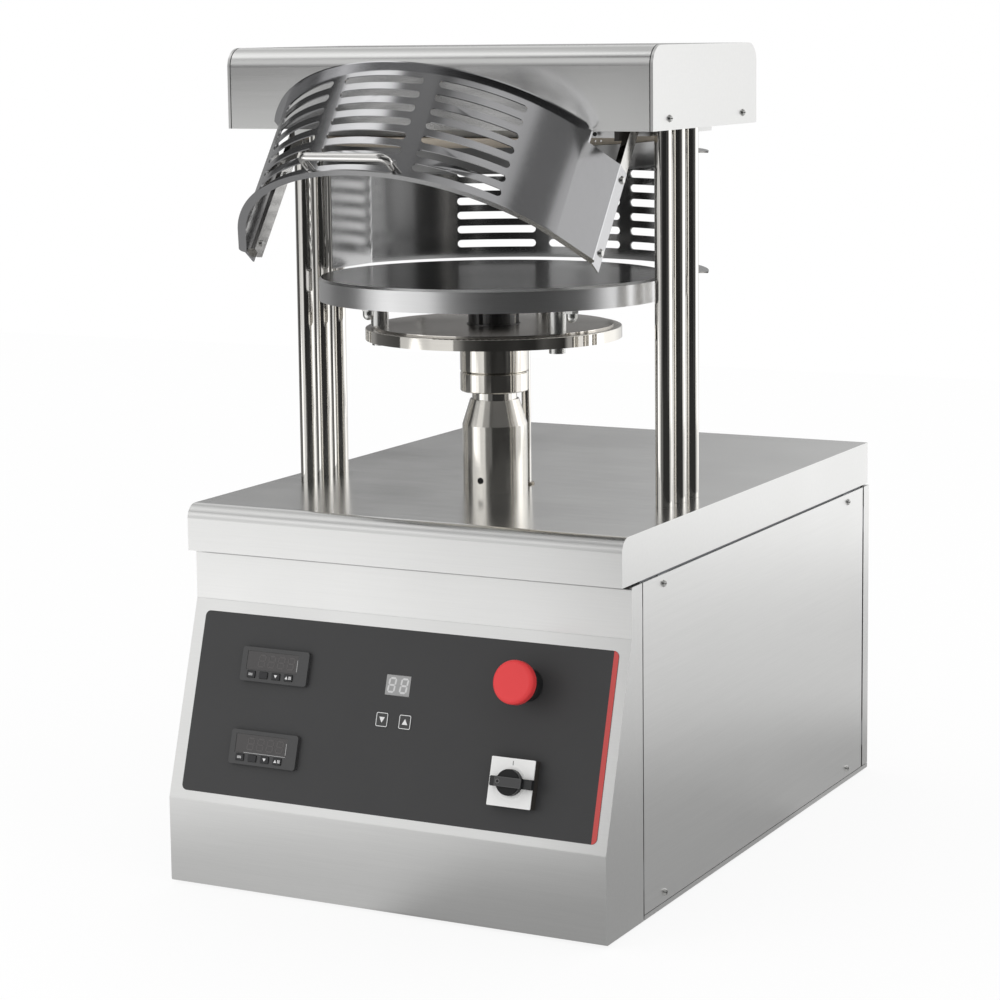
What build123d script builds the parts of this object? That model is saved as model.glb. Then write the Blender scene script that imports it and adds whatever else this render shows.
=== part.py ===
"""Heated pizza press with a rising lower platen, a fixed upper platen and a swing-up guard.

Millimetres. +Z is up, the operator stands at -Y, and the origin lies on the ground at the
centre of the cabinet's footprint.
"""

import math
import os

from build123d import *

os.makedirs("parts", exist_ok=True)

# Cabinet
body_width = 504.0
body_depth = 735.0
sheet = 1.5
bend_radius = 3.0
foot_height = 3.0
foot_radius = 15.0
foot_inset = 52.0
foot_rear_inset = 40.0
tray_height = 5.0
panel_gap = 2.0
tray_gap = 0.7
console_bottom_height = 93.0
console_top_height = 294.0
console_setback = 62.5
front_flange_depth = 87.0
rear_flange_depth = 17.5
rear_seam = 4.0
vent_length = 60.0
vent_width = 5.0
vent_spacing = 12.0
vent_rows = 8
vent_height = 210.0

# Worktop
worktop_side_step = 2.0
worktop_height = 396.0
worktop_drop = 48.5
worktop_overhang = 17.5
worktop_radius = 14.5

# Screws of the cabinet and the head
screw_head_radius = 4.0
screw_head_height = 2.4
screw_radius = 2.0
screw_length = 9.0
screw_clearance = 0.25
side_screw_front = 51.5
side_screw_rear = 54.0
side_screw_rise = 9.5

# Press frame inside the cabinet
post_size = 30.0
post_wall = 3.0
plate_thickness = 15.0
plate_margin = 1.2
pad_size = 20.0
tab_height = 30.0
tab_lap = 12.0

# Columns
axis_from_front = 263.0
column_inset = 39.5
column_pitch = 33.7
column_radius = 9.0
column_thread_radius = 8.0
column_end_length = 16.0
column_nut_width = 24.0
column_nut_height = 13.0
bolt_clearance = 0.3

# Head
beam_thickness = 12.0
beam_pad = 8.0
beam_front = 92.5
beam_rear = 114.5
lug_length = 12.0
lug_width = 16.0
lug_height = 16.0
head_height = 83.8
head_front = 129.0
head_rear = 136.3
head_side = 32.0
head_radius = 20.0
head_return = 12.0
end_plate = 3.0
head_screw_front = 39.5
head_screw_rear = 38.0
head_screw_rise = 11.5

# Platens
platen_to_column = 27.5
upper_inset = 7.0
upper_thickness = 26.0
insulation_inset = 6.0
insulation_thickness = 8.0
lower_thickness = 24.0
daylight = 114.5
platen_chamfer = 2.5
mount_bolt_radius = 5.0
mount_ring_radius = 110.0
mount_bolt_depth = 12.0
bolt_head_radius = 8.5
bolt_head_height = 6.5

# Carrier under the lower platen
spacer_height = 29.0
spacer_radius = 9.5
spacer_ring_radius = 121.0
spacer_start = -30.0
carrier_radius = 136.5
carrier_thickness = 14.3
carrier_step = 2.0
carrier_step_width = 9.0
acorn_ring_radius = 152.0
acorn_start = -31.0
acorn_width = 13.0
acorn_nut_height = 6.0
acorn_stud = 4.0
acorn_cap_step = 0.8
stud_radius = 15.0
centre_nut_width = 46.0
centre_nut_height = 14.0

# Lift shaft, its collars and its guide
shaft_radius = 24.0
collar_radius = 36.4
collar_height = 57.0
collar_lower_height = 21.0
collar_groove = 1.2
collar_gap = 8.7
sleeve_radius = 34.8
sleeve_height = 98.0
sleeve_cone_height = 27.0
sleeve_tip_radius = 26.2
sleeve_spigot_radius = 32.0
sleeve_spigot_length = 36.0
bush_wall = 4.0
bush_length = 80.0
running_clearance = 0.05
loose_clearance = 0.3
set_screw_radius = 3.6
set_screw_height = 13.5
set_screw_depth = 2.5
rod_radius = 5.0
rod_x = 16.0
rod_behind_axis = 43.0
rod_length = 320.3
rod_bush_radius = 8.0
rod_bush_length = 30.0
rod_bush_stand = 2.0

# Cam drive
lift_stroke = 112.0
cam_lift_angle = 280.0
cam_rest_pitch = 45.0
cam_axis_height = 160.0
cam_thickness = 10.0
cam_gap = 0.3
cam_top_dwell = 10.0
cam_rest_dwell = 25.0
cam_hub_radius = 22.0
cam_hub_length = 28.0
cam_shaft_radius = 12.0
roller_radius = 13.0
roller_width = 12.0
roller_journal_radius = 6.0
fork_slot = 13.0
fork_below = 8.0
fork_above = 17.0
bearing_x = 50.0
bearing_length = 14.0
bearing_width = 50.0
bearing_over = 30.0
gearbox_x = 36.0
gearbox_length = 80.0
gearbox_width = 100.0
gearbox_height = 110.0
gearbox_corner = 8.0
gearbox_bore_depth = 30.0
motor_radius = 40.0
motor_side_gap = 24.5
motor_fin_depth = 3.0
motor_fins = 6
bracket_plate = 6.0
bracket_width = 120.0

# Rear guard
slot_pitch = 16.0
slot_rows = 7
slot_length = 89.0
slot_width = 8.4
bank_pitch = 105.5
slot_cut = 60.0
guard_height = 128.0
rear_flange = 11.0
rear_arc_over_platen = 24.0
rear_arc_behind_axis = 21.0
rear_wall_inset = 13.5
rear_guard_drop = 149.0
rear_bend_radius = 14.0
rear_bracket_rise = 22.0
rear_bracket_height = 14.0
rear_bracket_width = 14.0
rear_bracket_depth = 6.0

# Front guard, its arms and its handle
guard_open_angle = 36.2
pivot_rise = 12.9
pivot_ahead_of_axis = 58.6
front_flange = 7.0
front_flange_corner = 5.0
front_arc_over_platen = 14.0
front_arc_sweep = 62.5
arm_fold_gap = 1.59
guard_drop = 52.2
wing_angle = 63.5
wing_bend_radius = 25.0
fold_radius = 3.0
wing_top_drop = 13.5
wing_step = 5.5
arm_inset = 15.0
arm_thickness = 6.5
arm_width = 17.0
arm_above_pivot = 10.0
arm_short = 6.5
pivot_radius = 5.0
pivot_bracket_thickness = 13.0
pivot_bracket_width = 24.0
pivot_bracket_gap = 3.5
pivot_head_radius = 8.0
pivot_head_height = 4.0
arm_slot_margin = 5.2
arm_screw_radius = 3.0
arm_screw_head = 4.4
arm_screw_height = 2.4
arm_screw_stand = 2.0
arm_screw_first = 24.6
arm_screw_pitch = 85.0
handle_span = 95.0
handle_reach = 20.5
handle_radius = 4.2
handle_bend = 8.5
handle_rise = 6.4
handle_trim = 1.0
switch_block_gap = 0.8
switch_block_depth = 14.0
switch_block_drop = 3.0
switch_block_height = 27.0

# Console
overlay_side = 12.7
overlay_shift = 1.3
overlay_height = 188.6
overlay_corner = 6.0
overlay_thickness = 0.5
overlay_top_margin = 12.4
controller_inset = 108.5
controller_y = 43.0
bezel_width = 80.0
bezel_height = 35.5
bezel_thickness = 5.0
bezel_corner = 3.0
controller_body_width = 71.0
controller_body_height = 29.0
controller_body_depth = 60.0
window_width = 61.4
window_height = 19.3
window_rise = 3.9
window_shift = -3.0
window_thickness = 0.7
window_recess = 1.1
window_clearance = 0.15
key_shift = -3.9
key_spacing = 15.0
key_width = 9.6
key_height = 6.6
key_corner = 1.1
key_drop = 10.6
key_proud = 1.2
key_depth = 3.0
key_travel = 1.0
key_gap = 0.3
timer_x = 1.6
timer_y = 37.5
timer_width = 28.3
timer_height = 20.5
arrow_key_width = 13.5
arrow_key_height = 14.4
arrow_key_offset = 13.3
arrow_key_y = 1.7
arrow_key_proud = 0.6
arrow_key_corner = 2.0
arrow_key_depth = 2.6
button_inset = 105.5
estop_y = 52.0
estop_barrel_radius = 11.0
estop_collar_radius = 16.5
estop_collar_height = 14.0
estop_block = 32.0
estop_block_depth = 34.0
estop_stem_radius = 6.0
estop_stem_below = 14.0
estop_head_radius = 22.0
estop_head_height = 11.5
estop_head_lift = 25.0
estop_face_round = 4.0
estop_rim_round = 1.8
switch_y = -45.0
switch_size = 48.0
switch_corner = 1.0
switch_base_height = 9.8
switch_plate_thickness = 1.2
switch_hub_radius = 7.0
switch_block = 40.0
switch_block_length = 45.0
knob_radius = 13.0
knob_height = 7.0
knob_bar_length = 46.0
knob_bar_shift = 3.0
knob_bar_width = 10.0
knob_bar_height = 9.0
knob_bar_corner = 1.5
knob_step = 10.0
knob_step_drop = 3.0
knob_ring_radius = 16.0
knob_ring_height = 0.8

# Control gear
gear_plate_length = 190.0
gear_plate_height = 150.0
gear_plate_inset = 102.0
gear_plate_y = 170.0
gear_unit_width = 45.0
gear_unit_height = 85.0
gear_unit_depth = 70.0
gear_unit_pitch = 54.0
gear_units = 3
gear_unit_rise = 40.0

# Places worked out from the sizes above
worktop_width = body_width - 2 * worktop_side_step
column_x = body_width / 2 - column_inset
lower_radius = column_x - platen_to_column
upper_radius = lower_radius - upper_inset
insulation_radius = upper_radius - insulation_inset
rear_arc_radius = lower_radius + rear_arc_over_platen
front_arc_radius = lower_radius + front_arc_over_platen
rear_wall_x = column_x - rear_wall_inset
arm_outer_x = column_x - arm_inset
head_width = 2 * (column_x + head_side)
overlay_width = body_width - 2 * overlay_side
controller_x = controller_inset - body_width / 2
button_x = body_width / 2 - button_inset
gear_plate_x = gear_plate_inset - body_width / 2
motor_length = body_width / 2 - sheet - motor_side_gap - gearbox_x - gearbox_length
front_y = -body_depth / 2
rear_y = body_depth / 2
upper_front_y = front_y + console_setback
front_flange_y = front_y + front_flange_depth
rear_flange_y = rear_y - rear_flange_depth
axis_y = front_y + axis_from_front
panel_top = worktop_height - worktop_drop - panel_gap
panel_bottom = foot_height + tray_height + tray_gap
tray_floor = foot_height + sheet
worktop_front_y = upper_front_y - worktop_overhang
worktop_depth = rear_y - worktop_front_y
worktop_mid_y = (rear_y + worktop_front_y) / 2
plate_top = worktop_height - sheet
plate_bottom = plate_top - plate_thickness
plate_half = worktop_width / 2 - sheet - plate_margin
collar_bottom = worktop_height + sleeve_height + collar_gap
carrier_bottom = collar_bottom + collar_height
carrier_top = carrier_bottom + carrier_thickness
lower_underside = carrier_top + spacer_height
lower_face = lower_underside + lower_thickness
upper_face = lower_face + daylight
beam_bottom = upper_face + upper_thickness + insulation_thickness
beam_top = beam_bottom + beam_thickness
head_bottom = beam_bottom + beam_pad
pivot_height = head_bottom + pivot_rise
rear_guard_bottom = beam_bottom - rear_guard_drop
beam_width = head_width - 2 * end_plate
rod_y = axis_y + rod_behind_axis
roller_height = cam_axis_height + cam_rest_pitch
side_panel_front = front_flange_y + panel_gap
side_panel_rear = rear_flange_y - rear_seam
screw_front_y = front_flange_y + side_screw_front
screw_rear_y = rear_flange_y - side_screw_rear
post_low_z = panel_bottom + side_screw_rise
post_high_z = panel_top - side_screw_rise
column_points = [
    (side * column_x, axis_y + step * column_pitch) for side in (-1, 1) for step in (-1, 0, 1)
]
side_screw_points = [
    (y, z) for y in (screw_front_y, screw_rear_y) for z in (post_low_z, post_high_z)
]
foot_points = [
    (side * (body_width / 2 - foot_inset), y)
    for side in (-1, 1)
    for y in (side_panel_front + foot_radius + panel_gap, rear_y - foot_rear_inset)
]

# Bottom tray
tray_mid_y = (side_panel_front + rear_y) / 2
tray_length = rear_y - side_panel_front
with BuildPart() as bottom_tray:
    with BuildSketch(Plane.XY.offset(foot_height)):
        with Locations((0, tray_mid_y)):
            Rectangle(body_width, tray_length)
    extrude(amount=tray_height)
    offset(amount=-sheet, openings=bottom_tray.faces().sort_by(Axis.Z)[-1])
bottom_tray.part.label = "bottom_tray"
export_step(bottom_tray.part, "parts/bottom_tray.step")

# Rubber feet
with BuildPart() as rubber_feet:
    with BuildSketch(Plane.XY):
        with Locations(*foot_points):
            Circle(foot_radius)
    extrude(amount=foot_height)
rubber_feet.part.label = "rubber_feet"
export_step(rubber_feet.part, "parts/rubber_feet.step")

# Console plane, its openings and what sits in them
slope = math.atan2(console_setback, console_top_height - console_bottom_height)
console_run = overlay_top_margin + overlay_height / 2
console = Plane(
    origin=(
        0,
        upper_front_y - console_run * math.sin(slope),
        console_top_height - console_run * math.cos(slope),
    ),
    x_dir=(1, 0, 0),
    z_dir=(0, -math.cos(slope), math.sin(slope)),
)
controller_points = [(controller_x, controller_y), (controller_x, -controller_y)]
arrow_points = [(timer_x - arrow_key_offset, arrow_key_y), (timer_x + arrow_key_offset, arrow_key_y)]
with BuildSketch(console) as console_openings:
    with Locations(*controller_points):
        Rectangle(controller_body_width + 2 * key_gap, controller_body_height + 2 * key_gap)
    with Locations(*arrow_points):
        RectangleRounded(
            arrow_key_width + 2 * key_gap, arrow_key_height + 2 * key_gap, arrow_key_corner
        )
    with Locations((button_x, estop_y)):
        Circle(estop_barrel_radius + loose_clearance)
    with Locations((button_x, switch_y)):
        Rectangle(switch_block + 2 * key_gap, switch_block + 2 * key_gap)

# Front panel with its slanted console face
with BuildPart() as front_panel:
    with BuildSketch(Plane.YZ) as front_profile:
        with BuildLine():
            Polyline(
                (front_flange_y, foot_height),
                (front_y, foot_height),
                (front_y, console_bottom_height),
                (upper_front_y, console_top_height),
                (upper_front_y, panel_top),
                (front_flange_y, panel_top),
                close=True,
            )
        make_face()
        fillet(front_profile.vertices().sort_by(Axis.X)[:4], bend_radius)
    extrude(amount=body_width / 2, both=True)
    offset(amount=-sheet, openings=front_panel.faces().sort_by(Axis.Y)[-1])
    extrude(console_openings.sketch, amount=4 * sheet, both=True, mode=Mode.SUBTRACT)
front_panel.part.label = "front_panel"
export_step(front_panel.part, "parts/front_panel.step")

# Side panels, which meet the tray's lip below and the worktop's drop above
with BuildPart() as right_side_panel:
    with BuildSketch(Plane.YZ.offset(body_width / 2 - sheet)):
        with Locations(((side_panel_front + side_panel_rear) / 2, (panel_bottom + panel_top) / 2)):
            Rectangle(side_panel_rear - side_panel_front, panel_top - panel_bottom)
        with Locations(*side_screw_points):
            Circle(screw_radius + screw_clearance, mode=Mode.SUBTRACT)
    extrude(amount=sheet)
right_side_panel.part.label = "right_side_panel"
export_step(right_side_panel.part, "parts/right_side_panel.step")

with BuildPart() as left_side_panel:
    mirror(right_side_panel.part, about=Plane.YZ)
left_side_panel.part.label = "left_side_panel"
export_step(left_side_panel.part, "parts/left_side_panel.step")

# Rear panel with folded edges and air slots
with BuildPart() as rear_panel:
    with BuildSketch(Plane.XY.offset(panel_bottom)):
        with Locations((0, (rear_flange_y + rear_y) / 2)):
            Rectangle(body_width, rear_flange_depth)
    extrude(amount=panel_top - panel_bottom)
    offset(amount=-sheet, openings=rear_panel.faces().sort_by(Axis.Y)[0])
    with BuildSketch(Plane.XZ.offset(-rear_y)):
        with Locations((0, vent_height)):
            with GridLocations(0, vent_spacing, 1, vent_rows):
                SlotOverall(vent_length, vent_width)
    extrude(amount=2 * sheet, both=True, mode=Mode.SUBTRACT)
rear_panel.part.label = "rear_panel"
export_step(rear_panel.part, "parts/rear_panel.step")

# Worktop cover with a rounded front edge
with BuildPart() as worktop_cover:
    with BuildSketch(Plane.XY.offset(worktop_height - worktop_drop)):
        with Locations((0, worktop_mid_y)):
            Rectangle(worktop_width, worktop_depth)
    extrude(amount=worktop_drop)
    top_edges = worktop_cover.edges().group_by(Axis.Z)[-1]
    fillet(top_edges.sort_by(Axis.Y)[0], worktop_radius)
    offset(amount=-sheet, openings=worktop_cover.faces().sort_by(Axis.Z)[0])
    with BuildSketch(Plane.XY.offset(worktop_height)):
        with Locations(*column_points):
            Circle(column_radius + loose_clearance)
        with Locations((0, axis_y)):
            Circle(sleeve_spigot_radius + loose_clearance)
        with Locations((rod_x, rod_y)):
            Circle(rod_bush_radius + loose_clearance)
    extrude(amount=-2 * sheet, mode=Mode.SUBTRACT)
worktop_cover.part.label = "worktop_cover"
export_step(worktop_cover.part, "parts/worktop_cover.step")

# Press frame: a thick plate on four posts, with pads for the side panels
post_x = worktop_width / 2 - sheet - plate_margin - post_size / 2
post_points = [(side * post_x, y) for side in (-1, 1) for y in (screw_front_y, screw_rear_y)]
plate_mid_y = (screw_front_y + screw_rear_y) / 2
plate_length = screw_rear_y - screw_front_y + post_size
pad_reach = body_width / 2 - sheet - post_x
with BuildPart() as press_frame:
    with BuildSketch(Plane.XY.offset(plate_bottom)):
        with Locations((0, plate_mid_y)):
            Rectangle(2 * plate_half, plate_length)
        with Locations(*column_points):
            Circle(column_thread_radius + bolt_clearance, mode=Mode.SUBTRACT)
        with Locations((0, axis_y)):
            Circle(sleeve_spigot_radius + loose_clearance, mode=Mode.SUBTRACT)
        with Locations((rod_x, rod_y)):
            Circle(rod_bush_radius + loose_clearance, mode=Mode.SUBTRACT)
    extrude(amount=plate_thickness)
    with BuildSketch(Plane.XY.offset(tray_floor)):
        with Locations(*post_points):
            Rectangle(post_size, post_size)
            Rectangle(post_size - 2 * post_wall, post_size - 2 * post_wall, mode=Mode.SUBTRACT)
    extrude(amount=plate_bottom - tray_floor)
    for side in (-1, 1):
        with BuildSketch(Plane.YZ.offset(side * (post_x + post_size / 2))):
            with Locations(*side_screw_points):
                Rectangle(pad_size, pad_size)
        extrude(amount=side * (pad_reach - post_size / 2))
        for tab_y, tab_end in (
            (screw_front_y, front_flange_y - tab_lap),
            (screw_rear_y, rear_flange_y + tab_lap),
        ):
            for tab_z in (post_low_z + tab_height, post_high_z - tab_height):
                with BuildSketch(Plane.YZ.offset(side * (post_x + post_size / 2))):
                    with Locations(((tab_y + tab_end) / 2, tab_z)):
                        Rectangle(abs(tab_end - tab_y), tab_height)
                extrude(amount=side * (pad_reach - post_size / 2))
    with BuildSketch(Plane.YZ):
        with Locations(*side_screw_points):
            Circle(screw_radius + screw_clearance)
    extrude(amount=body_width / 2, both=True, mode=Mode.SUBTRACT)
press_frame.part.label = "press_frame"
export_step(press_frame.part, "parts/press_frame.step")

# Screws of the side panels and of the head's end plates
head_screw_points = [
    (axis_y - head_front + head_screw_front, head_bottom + head_screw_rise),
    (axis_y + head_rear - head_screw_rear, head_bottom + head_screw_rise),
]
with BuildPart() as panel_screws:
    for face_x, points in ((body_width / 2, side_screw_points), (head_width / 2, head_screw_points)):
        with BuildSketch(Plane.YZ.offset(face_x)):
            with Locations(*points):
                Circle(screw_head_radius)
        extrude(amount=screw_head_height, taper=25)
        with BuildSketch(Plane.YZ.offset(face_x)):
            with Locations(*points):
                Circle(screw_radius)
        extrude(amount=-screw_length)
    mirror(about=Plane.YZ)
panel_screws.part.label = "panel_screws"
export_step(panel_screws.part, "parts/panel_screws.step")

# Columns: polished rods with shouldered threaded ends
with BuildPart() as columns:
    with BuildSketch(Plane.XY.offset(plate_bottom - column_end_length)):
        with Locations(*column_points):
            Circle(column_thread_radius)
    extrude(amount=beam_top - plate_bottom + 2 * column_end_length)
    with BuildSketch(Plane.XY.offset(plate_top)):
        with Locations(*column_points):
            Circle(column_radius)
    extrude(amount=head_bottom - plate_top)
columns.part.label = "columns"
export_step(columns.part, "parts/columns.step")

# Column nuts under the plate and on the beam
with BuildPart() as column_nuts:
    for nut_z in (plate_bottom - column_nut_height, beam_top):
        with BuildSketch(Plane.XY.offset(nut_z)):
            with Locations(*column_points):
                RegularPolygon(column_nut_width / 2, 6, major_radius=False)
                Circle(column_thread_radius + running_clearance, mode=Mode.SUBTRACT)
        extrude(amount=column_nut_height)
column_nuts.part.label = "column_nuts"
export_step(column_nuts.part, "parts/column_nuts.step")

# Head beam: a pad between the columns, slots for the guard's arms and lugs for the end plates
pivot_y = axis_y - pivot_ahead_of_axis
arm_inner_x = arm_outer_x - arm_thickness
arm_mid_x = arm_outer_x - arm_thickness / 2
arm_slot_inner_x = arm_inner_x - arm_slot_margin
ledge_x = arm_outer_x + arm_slot_margin
ledge_width = beam_width / 2 - ledge_x
arm_slot_width = arm_thickness + 2 * arm_slot_margin
arm_slot_rear = pivot_y + arm_width / 2 + arm_slot_margin
beam_front_y = axis_y - beam_front
beam_rear_y = axis_y + beam_rear
with BuildPart() as head_beam:
    with BuildSketch(Plane.XY.offset(beam_bottom)):
        with Locations((0, (beam_front_y + beam_rear_y) / 2)):
            Rectangle(beam_width, beam_rear_y - beam_front_y)
        with Locations(*column_points):
            Circle(column_thread_radius + bolt_clearance, mode=Mode.SUBTRACT)
        for side in (-1, 1):
            with Locations((side * arm_mid_x, (beam_front_y + arm_slot_rear) / 2)):
                Rectangle(arm_slot_width, arm_slot_rear - beam_front_y, mode=Mode.SUBTRACT)
        with Locations((0, axis_y)):
            with PolarLocations(mount_ring_radius, 4, start_angle=45):
                Circle(mount_bolt_radius + bolt_clearance, mode=Mode.SUBTRACT)
    extrude(amount=beam_thickness)
    with BuildSketch(Plane.XY.offset(beam_bottom)):
        for side in (-1, 1):
            with Locations((side * (ledge_x + ledge_width / 2), (beam_front_y + beam_rear_y) / 2)):
                Rectangle(ledge_width, beam_rear_y - beam_front_y)
    extrude(amount=beam_pad, mode=Mode.SUBTRACT)
    with BuildSketch(Plane.XY.offset(beam_top)):
        for lug_y, _ in head_screw_points:
            with Locations(
                (beam_width / 2 - lug_length / 2, lug_y),
                (lug_length / 2 - beam_width / 2, lug_y),
            ):
                Rectangle(lug_length, lug_width)
    extrude(amount=lug_height)
    with BuildSketch(Plane.YZ):
        with Locations(*head_screw_points):
            Circle(screw_radius + screw_clearance)
    extrude(amount=beam_width, both=True, mode=Mode.SUBTRACT)
head_beam.part.label = "head_beam"
export_step(head_beam.part, "parts/head_beam.step")

# Head casing: a folded cover between two end plates
head_front_y = axis_y - head_front
head_rear_y = axis_y + head_rear
with BuildSketch(Plane.YZ) as head_profile:
    with Locations(((head_front_y + head_rear_y) / 2, head_bottom + head_height / 2)):
        Rectangle(head_rear_y - head_front_y, head_height)
    fillet(head_profile.vertices().group_by(Axis.Y)[-1], head_radius)

with BuildPart() as head_cover:
    extrude(head_profile.sketch, amount=head_width / 2 - end_plate, both=True)
    open_faces = head_cover.faces().filter_by(Axis.X) + head_cover.faces().sort_by(Axis.Z)[:1]
    offset(amount=-sheet, openings=open_faces)
    for return_y in (head_front_y + sheet + head_return / 2, head_rear_y - sheet - head_return / 2):
        with BuildSketch(Plane.XY.offset(head_bottom)):
            with Locations((0, return_y)):
                Rectangle(head_width - 2 * end_plate, head_return)
        extrude(amount=sheet)
head_cover.part.label = "head_cover"
export_step(head_cover.part, "parts/head_cover.step")

with BuildPart() as head_end_plates:
    for side in (-1, 1):
        with BuildSketch(Plane.YZ.offset(side * head_width / 2)):
            with Locations(((head_front_y + head_rear_y) / 2, head_bottom + head_height / 2)):
                Rectangle(head_rear_y - head_front_y, head_height)
        extrude(amount=-side * end_plate)
    corners = head_end_plates.edges().filter_by(Axis.X).group_by(Axis.Z)[-1]
    fillet(corners, head_radius)
    with BuildSketch(Plane.YZ):
        with Locations(*head_screw_points):
            Circle(screw_radius + screw_clearance)
    extrude(amount=head_width, both=True, mode=Mode.SUBTRACT)
head_end_plates.part.label = "head_end_plates"
export_step(head_end_plates.part, "parts/head_end_plates.step")

# Upper platen, its insulation and its mounting bolts
with BuildPart() as upper_platen:
    with BuildSketch(Plane.XY.offset(upper_face)):
        with Locations((0, axis_y)):
            Circle(upper_radius)
    extrude(amount=upper_thickness)
    chamfer(upper_platen.edges().group_by(Axis.Z)[0], platen_chamfer)
    with BuildSketch(Plane.XY.offset(upper_face + upper_thickness)):
        with Locations((0, axis_y)):
            with PolarLocations(mount_ring_radius, 4, start_angle=45):
                Circle(mount_bolt_radius + bolt_clearance)
    extrude(amount=-mount_bolt_depth - bolt_clearance, mode=Mode.SUBTRACT)
upper_platen.part.label = "upper_platen"
export_step(upper_platen.part, "parts/upper_platen.step")

with BuildPart() as insulation_disc:
    with BuildSketch(Plane.XY.offset(beam_bottom - insulation_thickness)):
        with Locations((0, axis_y)):
            Circle(insulation_radius)
            with PolarLocations(mount_ring_radius, 4, start_angle=45):
                Circle(mount_bolt_radius + bolt_clearance, mode=Mode.SUBTRACT)
    extrude(amount=insulation_thickness)
insulation_disc.part.label = "insulation_disc"
export_step(insulation_disc.part, "parts/insulation_disc.step")

mount_bolt_length = beam_thickness + insulation_thickness + mount_bolt_depth
with BuildPart() as platen_bolts:
    with BuildSketch(Plane.XY.offset(beam_top - mount_bolt_length)):
        with Locations((0, axis_y)):
            with PolarLocations(mount_ring_radius, 4, start_angle=45):
                Circle(mount_bolt_radius)
    extrude(amount=mount_bolt_length)
    with BuildSketch(Plane.XY.offset(beam_top)):
        with Locations((0, axis_y)):
            with PolarLocations(mount_ring_radius, 4, start_angle=45):
                Circle(bolt_head_radius)
    extrude(amount=bolt_head_height)
platen_bolts.part.label = "platen_bolts"
export_step(platen_bolts.part, "parts/platen_bolts.step")

# Lower platen, spacers and acorn nuts
spacer_points = [
    (
        spacer_ring_radius * math.cos(math.radians(spacer_start + 120 * turn)),
        axis_y + spacer_ring_radius * math.sin(math.radians(spacer_start + 120 * turn)),
    )
    for turn in range(3)
]
acorn_points = [
    (
        acorn_ring_radius * math.cos(math.radians(acorn_start + 90 * turn)),
        axis_y + acorn_ring_radius * math.sin(math.radians(acorn_start + 90 * turn)),
    )
    for turn in range(4)
]
with BuildPart() as lower_platen:
    with BuildSketch(Plane.XY.offset(lower_underside)):
        with Locations((0, axis_y)):
            Circle(lower_radius)
    extrude(amount=lower_thickness)
    chamfer(lower_platen.edges().group_by(Axis.Z)[-1], platen_chamfer)
    with BuildSketch(Plane.XY.offset(lower_underside)):
        with Locations(*spacer_points):
            Circle(mount_bolt_radius + bolt_clearance)
    extrude(amount=mount_bolt_depth + bolt_clearance, mode=Mode.SUBTRACT)
lower_platen.part.label = "lower_platen"
export_step(lower_platen.part, "parts/lower_platen.step")

with BuildPart() as platen_spacers:
    with BuildSketch(Plane.XY.offset(carrier_top)):
        with Locations(*spacer_points):
            Circle(spacer_radius)
            Circle(mount_bolt_radius + bolt_clearance, mode=Mode.SUBTRACT)
    extrude(amount=spacer_height)
platen_spacers.part.label = "platen_spacers"
export_step(platen_spacers.part, "parts/platen_spacers.step")

with BuildPart() as acorn_nuts:
    with BuildSketch(Plane.XY.offset(lower_underside)):
        with Locations(*acorn_points):
            RegularPolygon(acorn_width / 2, 6, major_radius=False)
    extrude(amount=-acorn_nut_height)
    with Locations(*[(x, y, lower_underside - acorn_nut_height - acorn_stud) for x, y in acorn_points]):
        Sphere(acorn_width / 2 - acorn_cap_step)
    with Locations(*[(x, y, lower_underside - acorn_nut_height) for x, y in acorn_points]):
        Cylinder(
            acorn_width / 2 - acorn_cap_step,
            acorn_stud,
            align=(Align.CENTER, Align.CENTER, Align.MAX),
        )
acorn_nuts.part.label = "acorn_nuts"
export_step(acorn_nuts.part, "parts/acorn_nuts.step")

# Carrier disc with a shallow step inside its rim
with BuildPart() as carrier_disc:
    with BuildSketch(Plane.XY.offset(carrier_bottom)):
        with Locations((0, axis_y)):
            Circle(carrier_radius)
    extrude(amount=carrier_thickness - carrier_step)
    fillet(carrier_disc.edges().group_by(Axis.Z)[-1], carrier_step / 2)
    with BuildSketch(Plane.XY.offset(carrier_top - carrier_step)):
        with Locations((0, axis_y)):
            Circle(carrier_radius - carrier_step_width)
    extrude(amount=carrier_step)
    with BuildSketch(Plane.XY.offset(carrier_top)):
        with Locations(*spacer_points):
            Circle(mount_bolt_radius + bolt_clearance)
        with Locations((0, axis_y)):
            Circle(stud_radius + bolt_clearance)
    extrude(amount=-carrier_thickness, mode=Mode.SUBTRACT)
carrier_disc.part.label = "carrier_disc"
export_step(carrier_disc.part, "parts/carrier_disc.step")

# Bolts from under the carrier into the platen, and the shaft's centre nut
carrier_bolt_length = carrier_thickness + spacer_height + mount_bolt_depth
with BuildPart() as carrier_fasteners:
    with BuildSketch(Plane.XY.offset(carrier_bottom)):
        with Locations(*spacer_points):
            Circle(mount_bolt_radius)
    extrude(amount=carrier_bolt_length)
    with BuildSketch(Plane.XY.offset(carrier_bottom)):
        with Locations(*spacer_points):
            Circle(bolt_head_radius)
    extrude(amount=-bolt_head_height)
    with BuildSketch(Plane.XY.offset(carrier_top)):
        with Locations((0, axis_y)):
            RegularPolygon(centre_nut_width / 2, 6, major_radius=False)
            Circle(stud_radius + running_clearance, mode=Mode.SUBTRACT)
    extrude(amount=centre_nut_height)
carrier_fasteners.part.label = "carrier_fasteners"
export_step(carrier_fasteners.part, "parts/carrier_fasteners.step")

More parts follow.
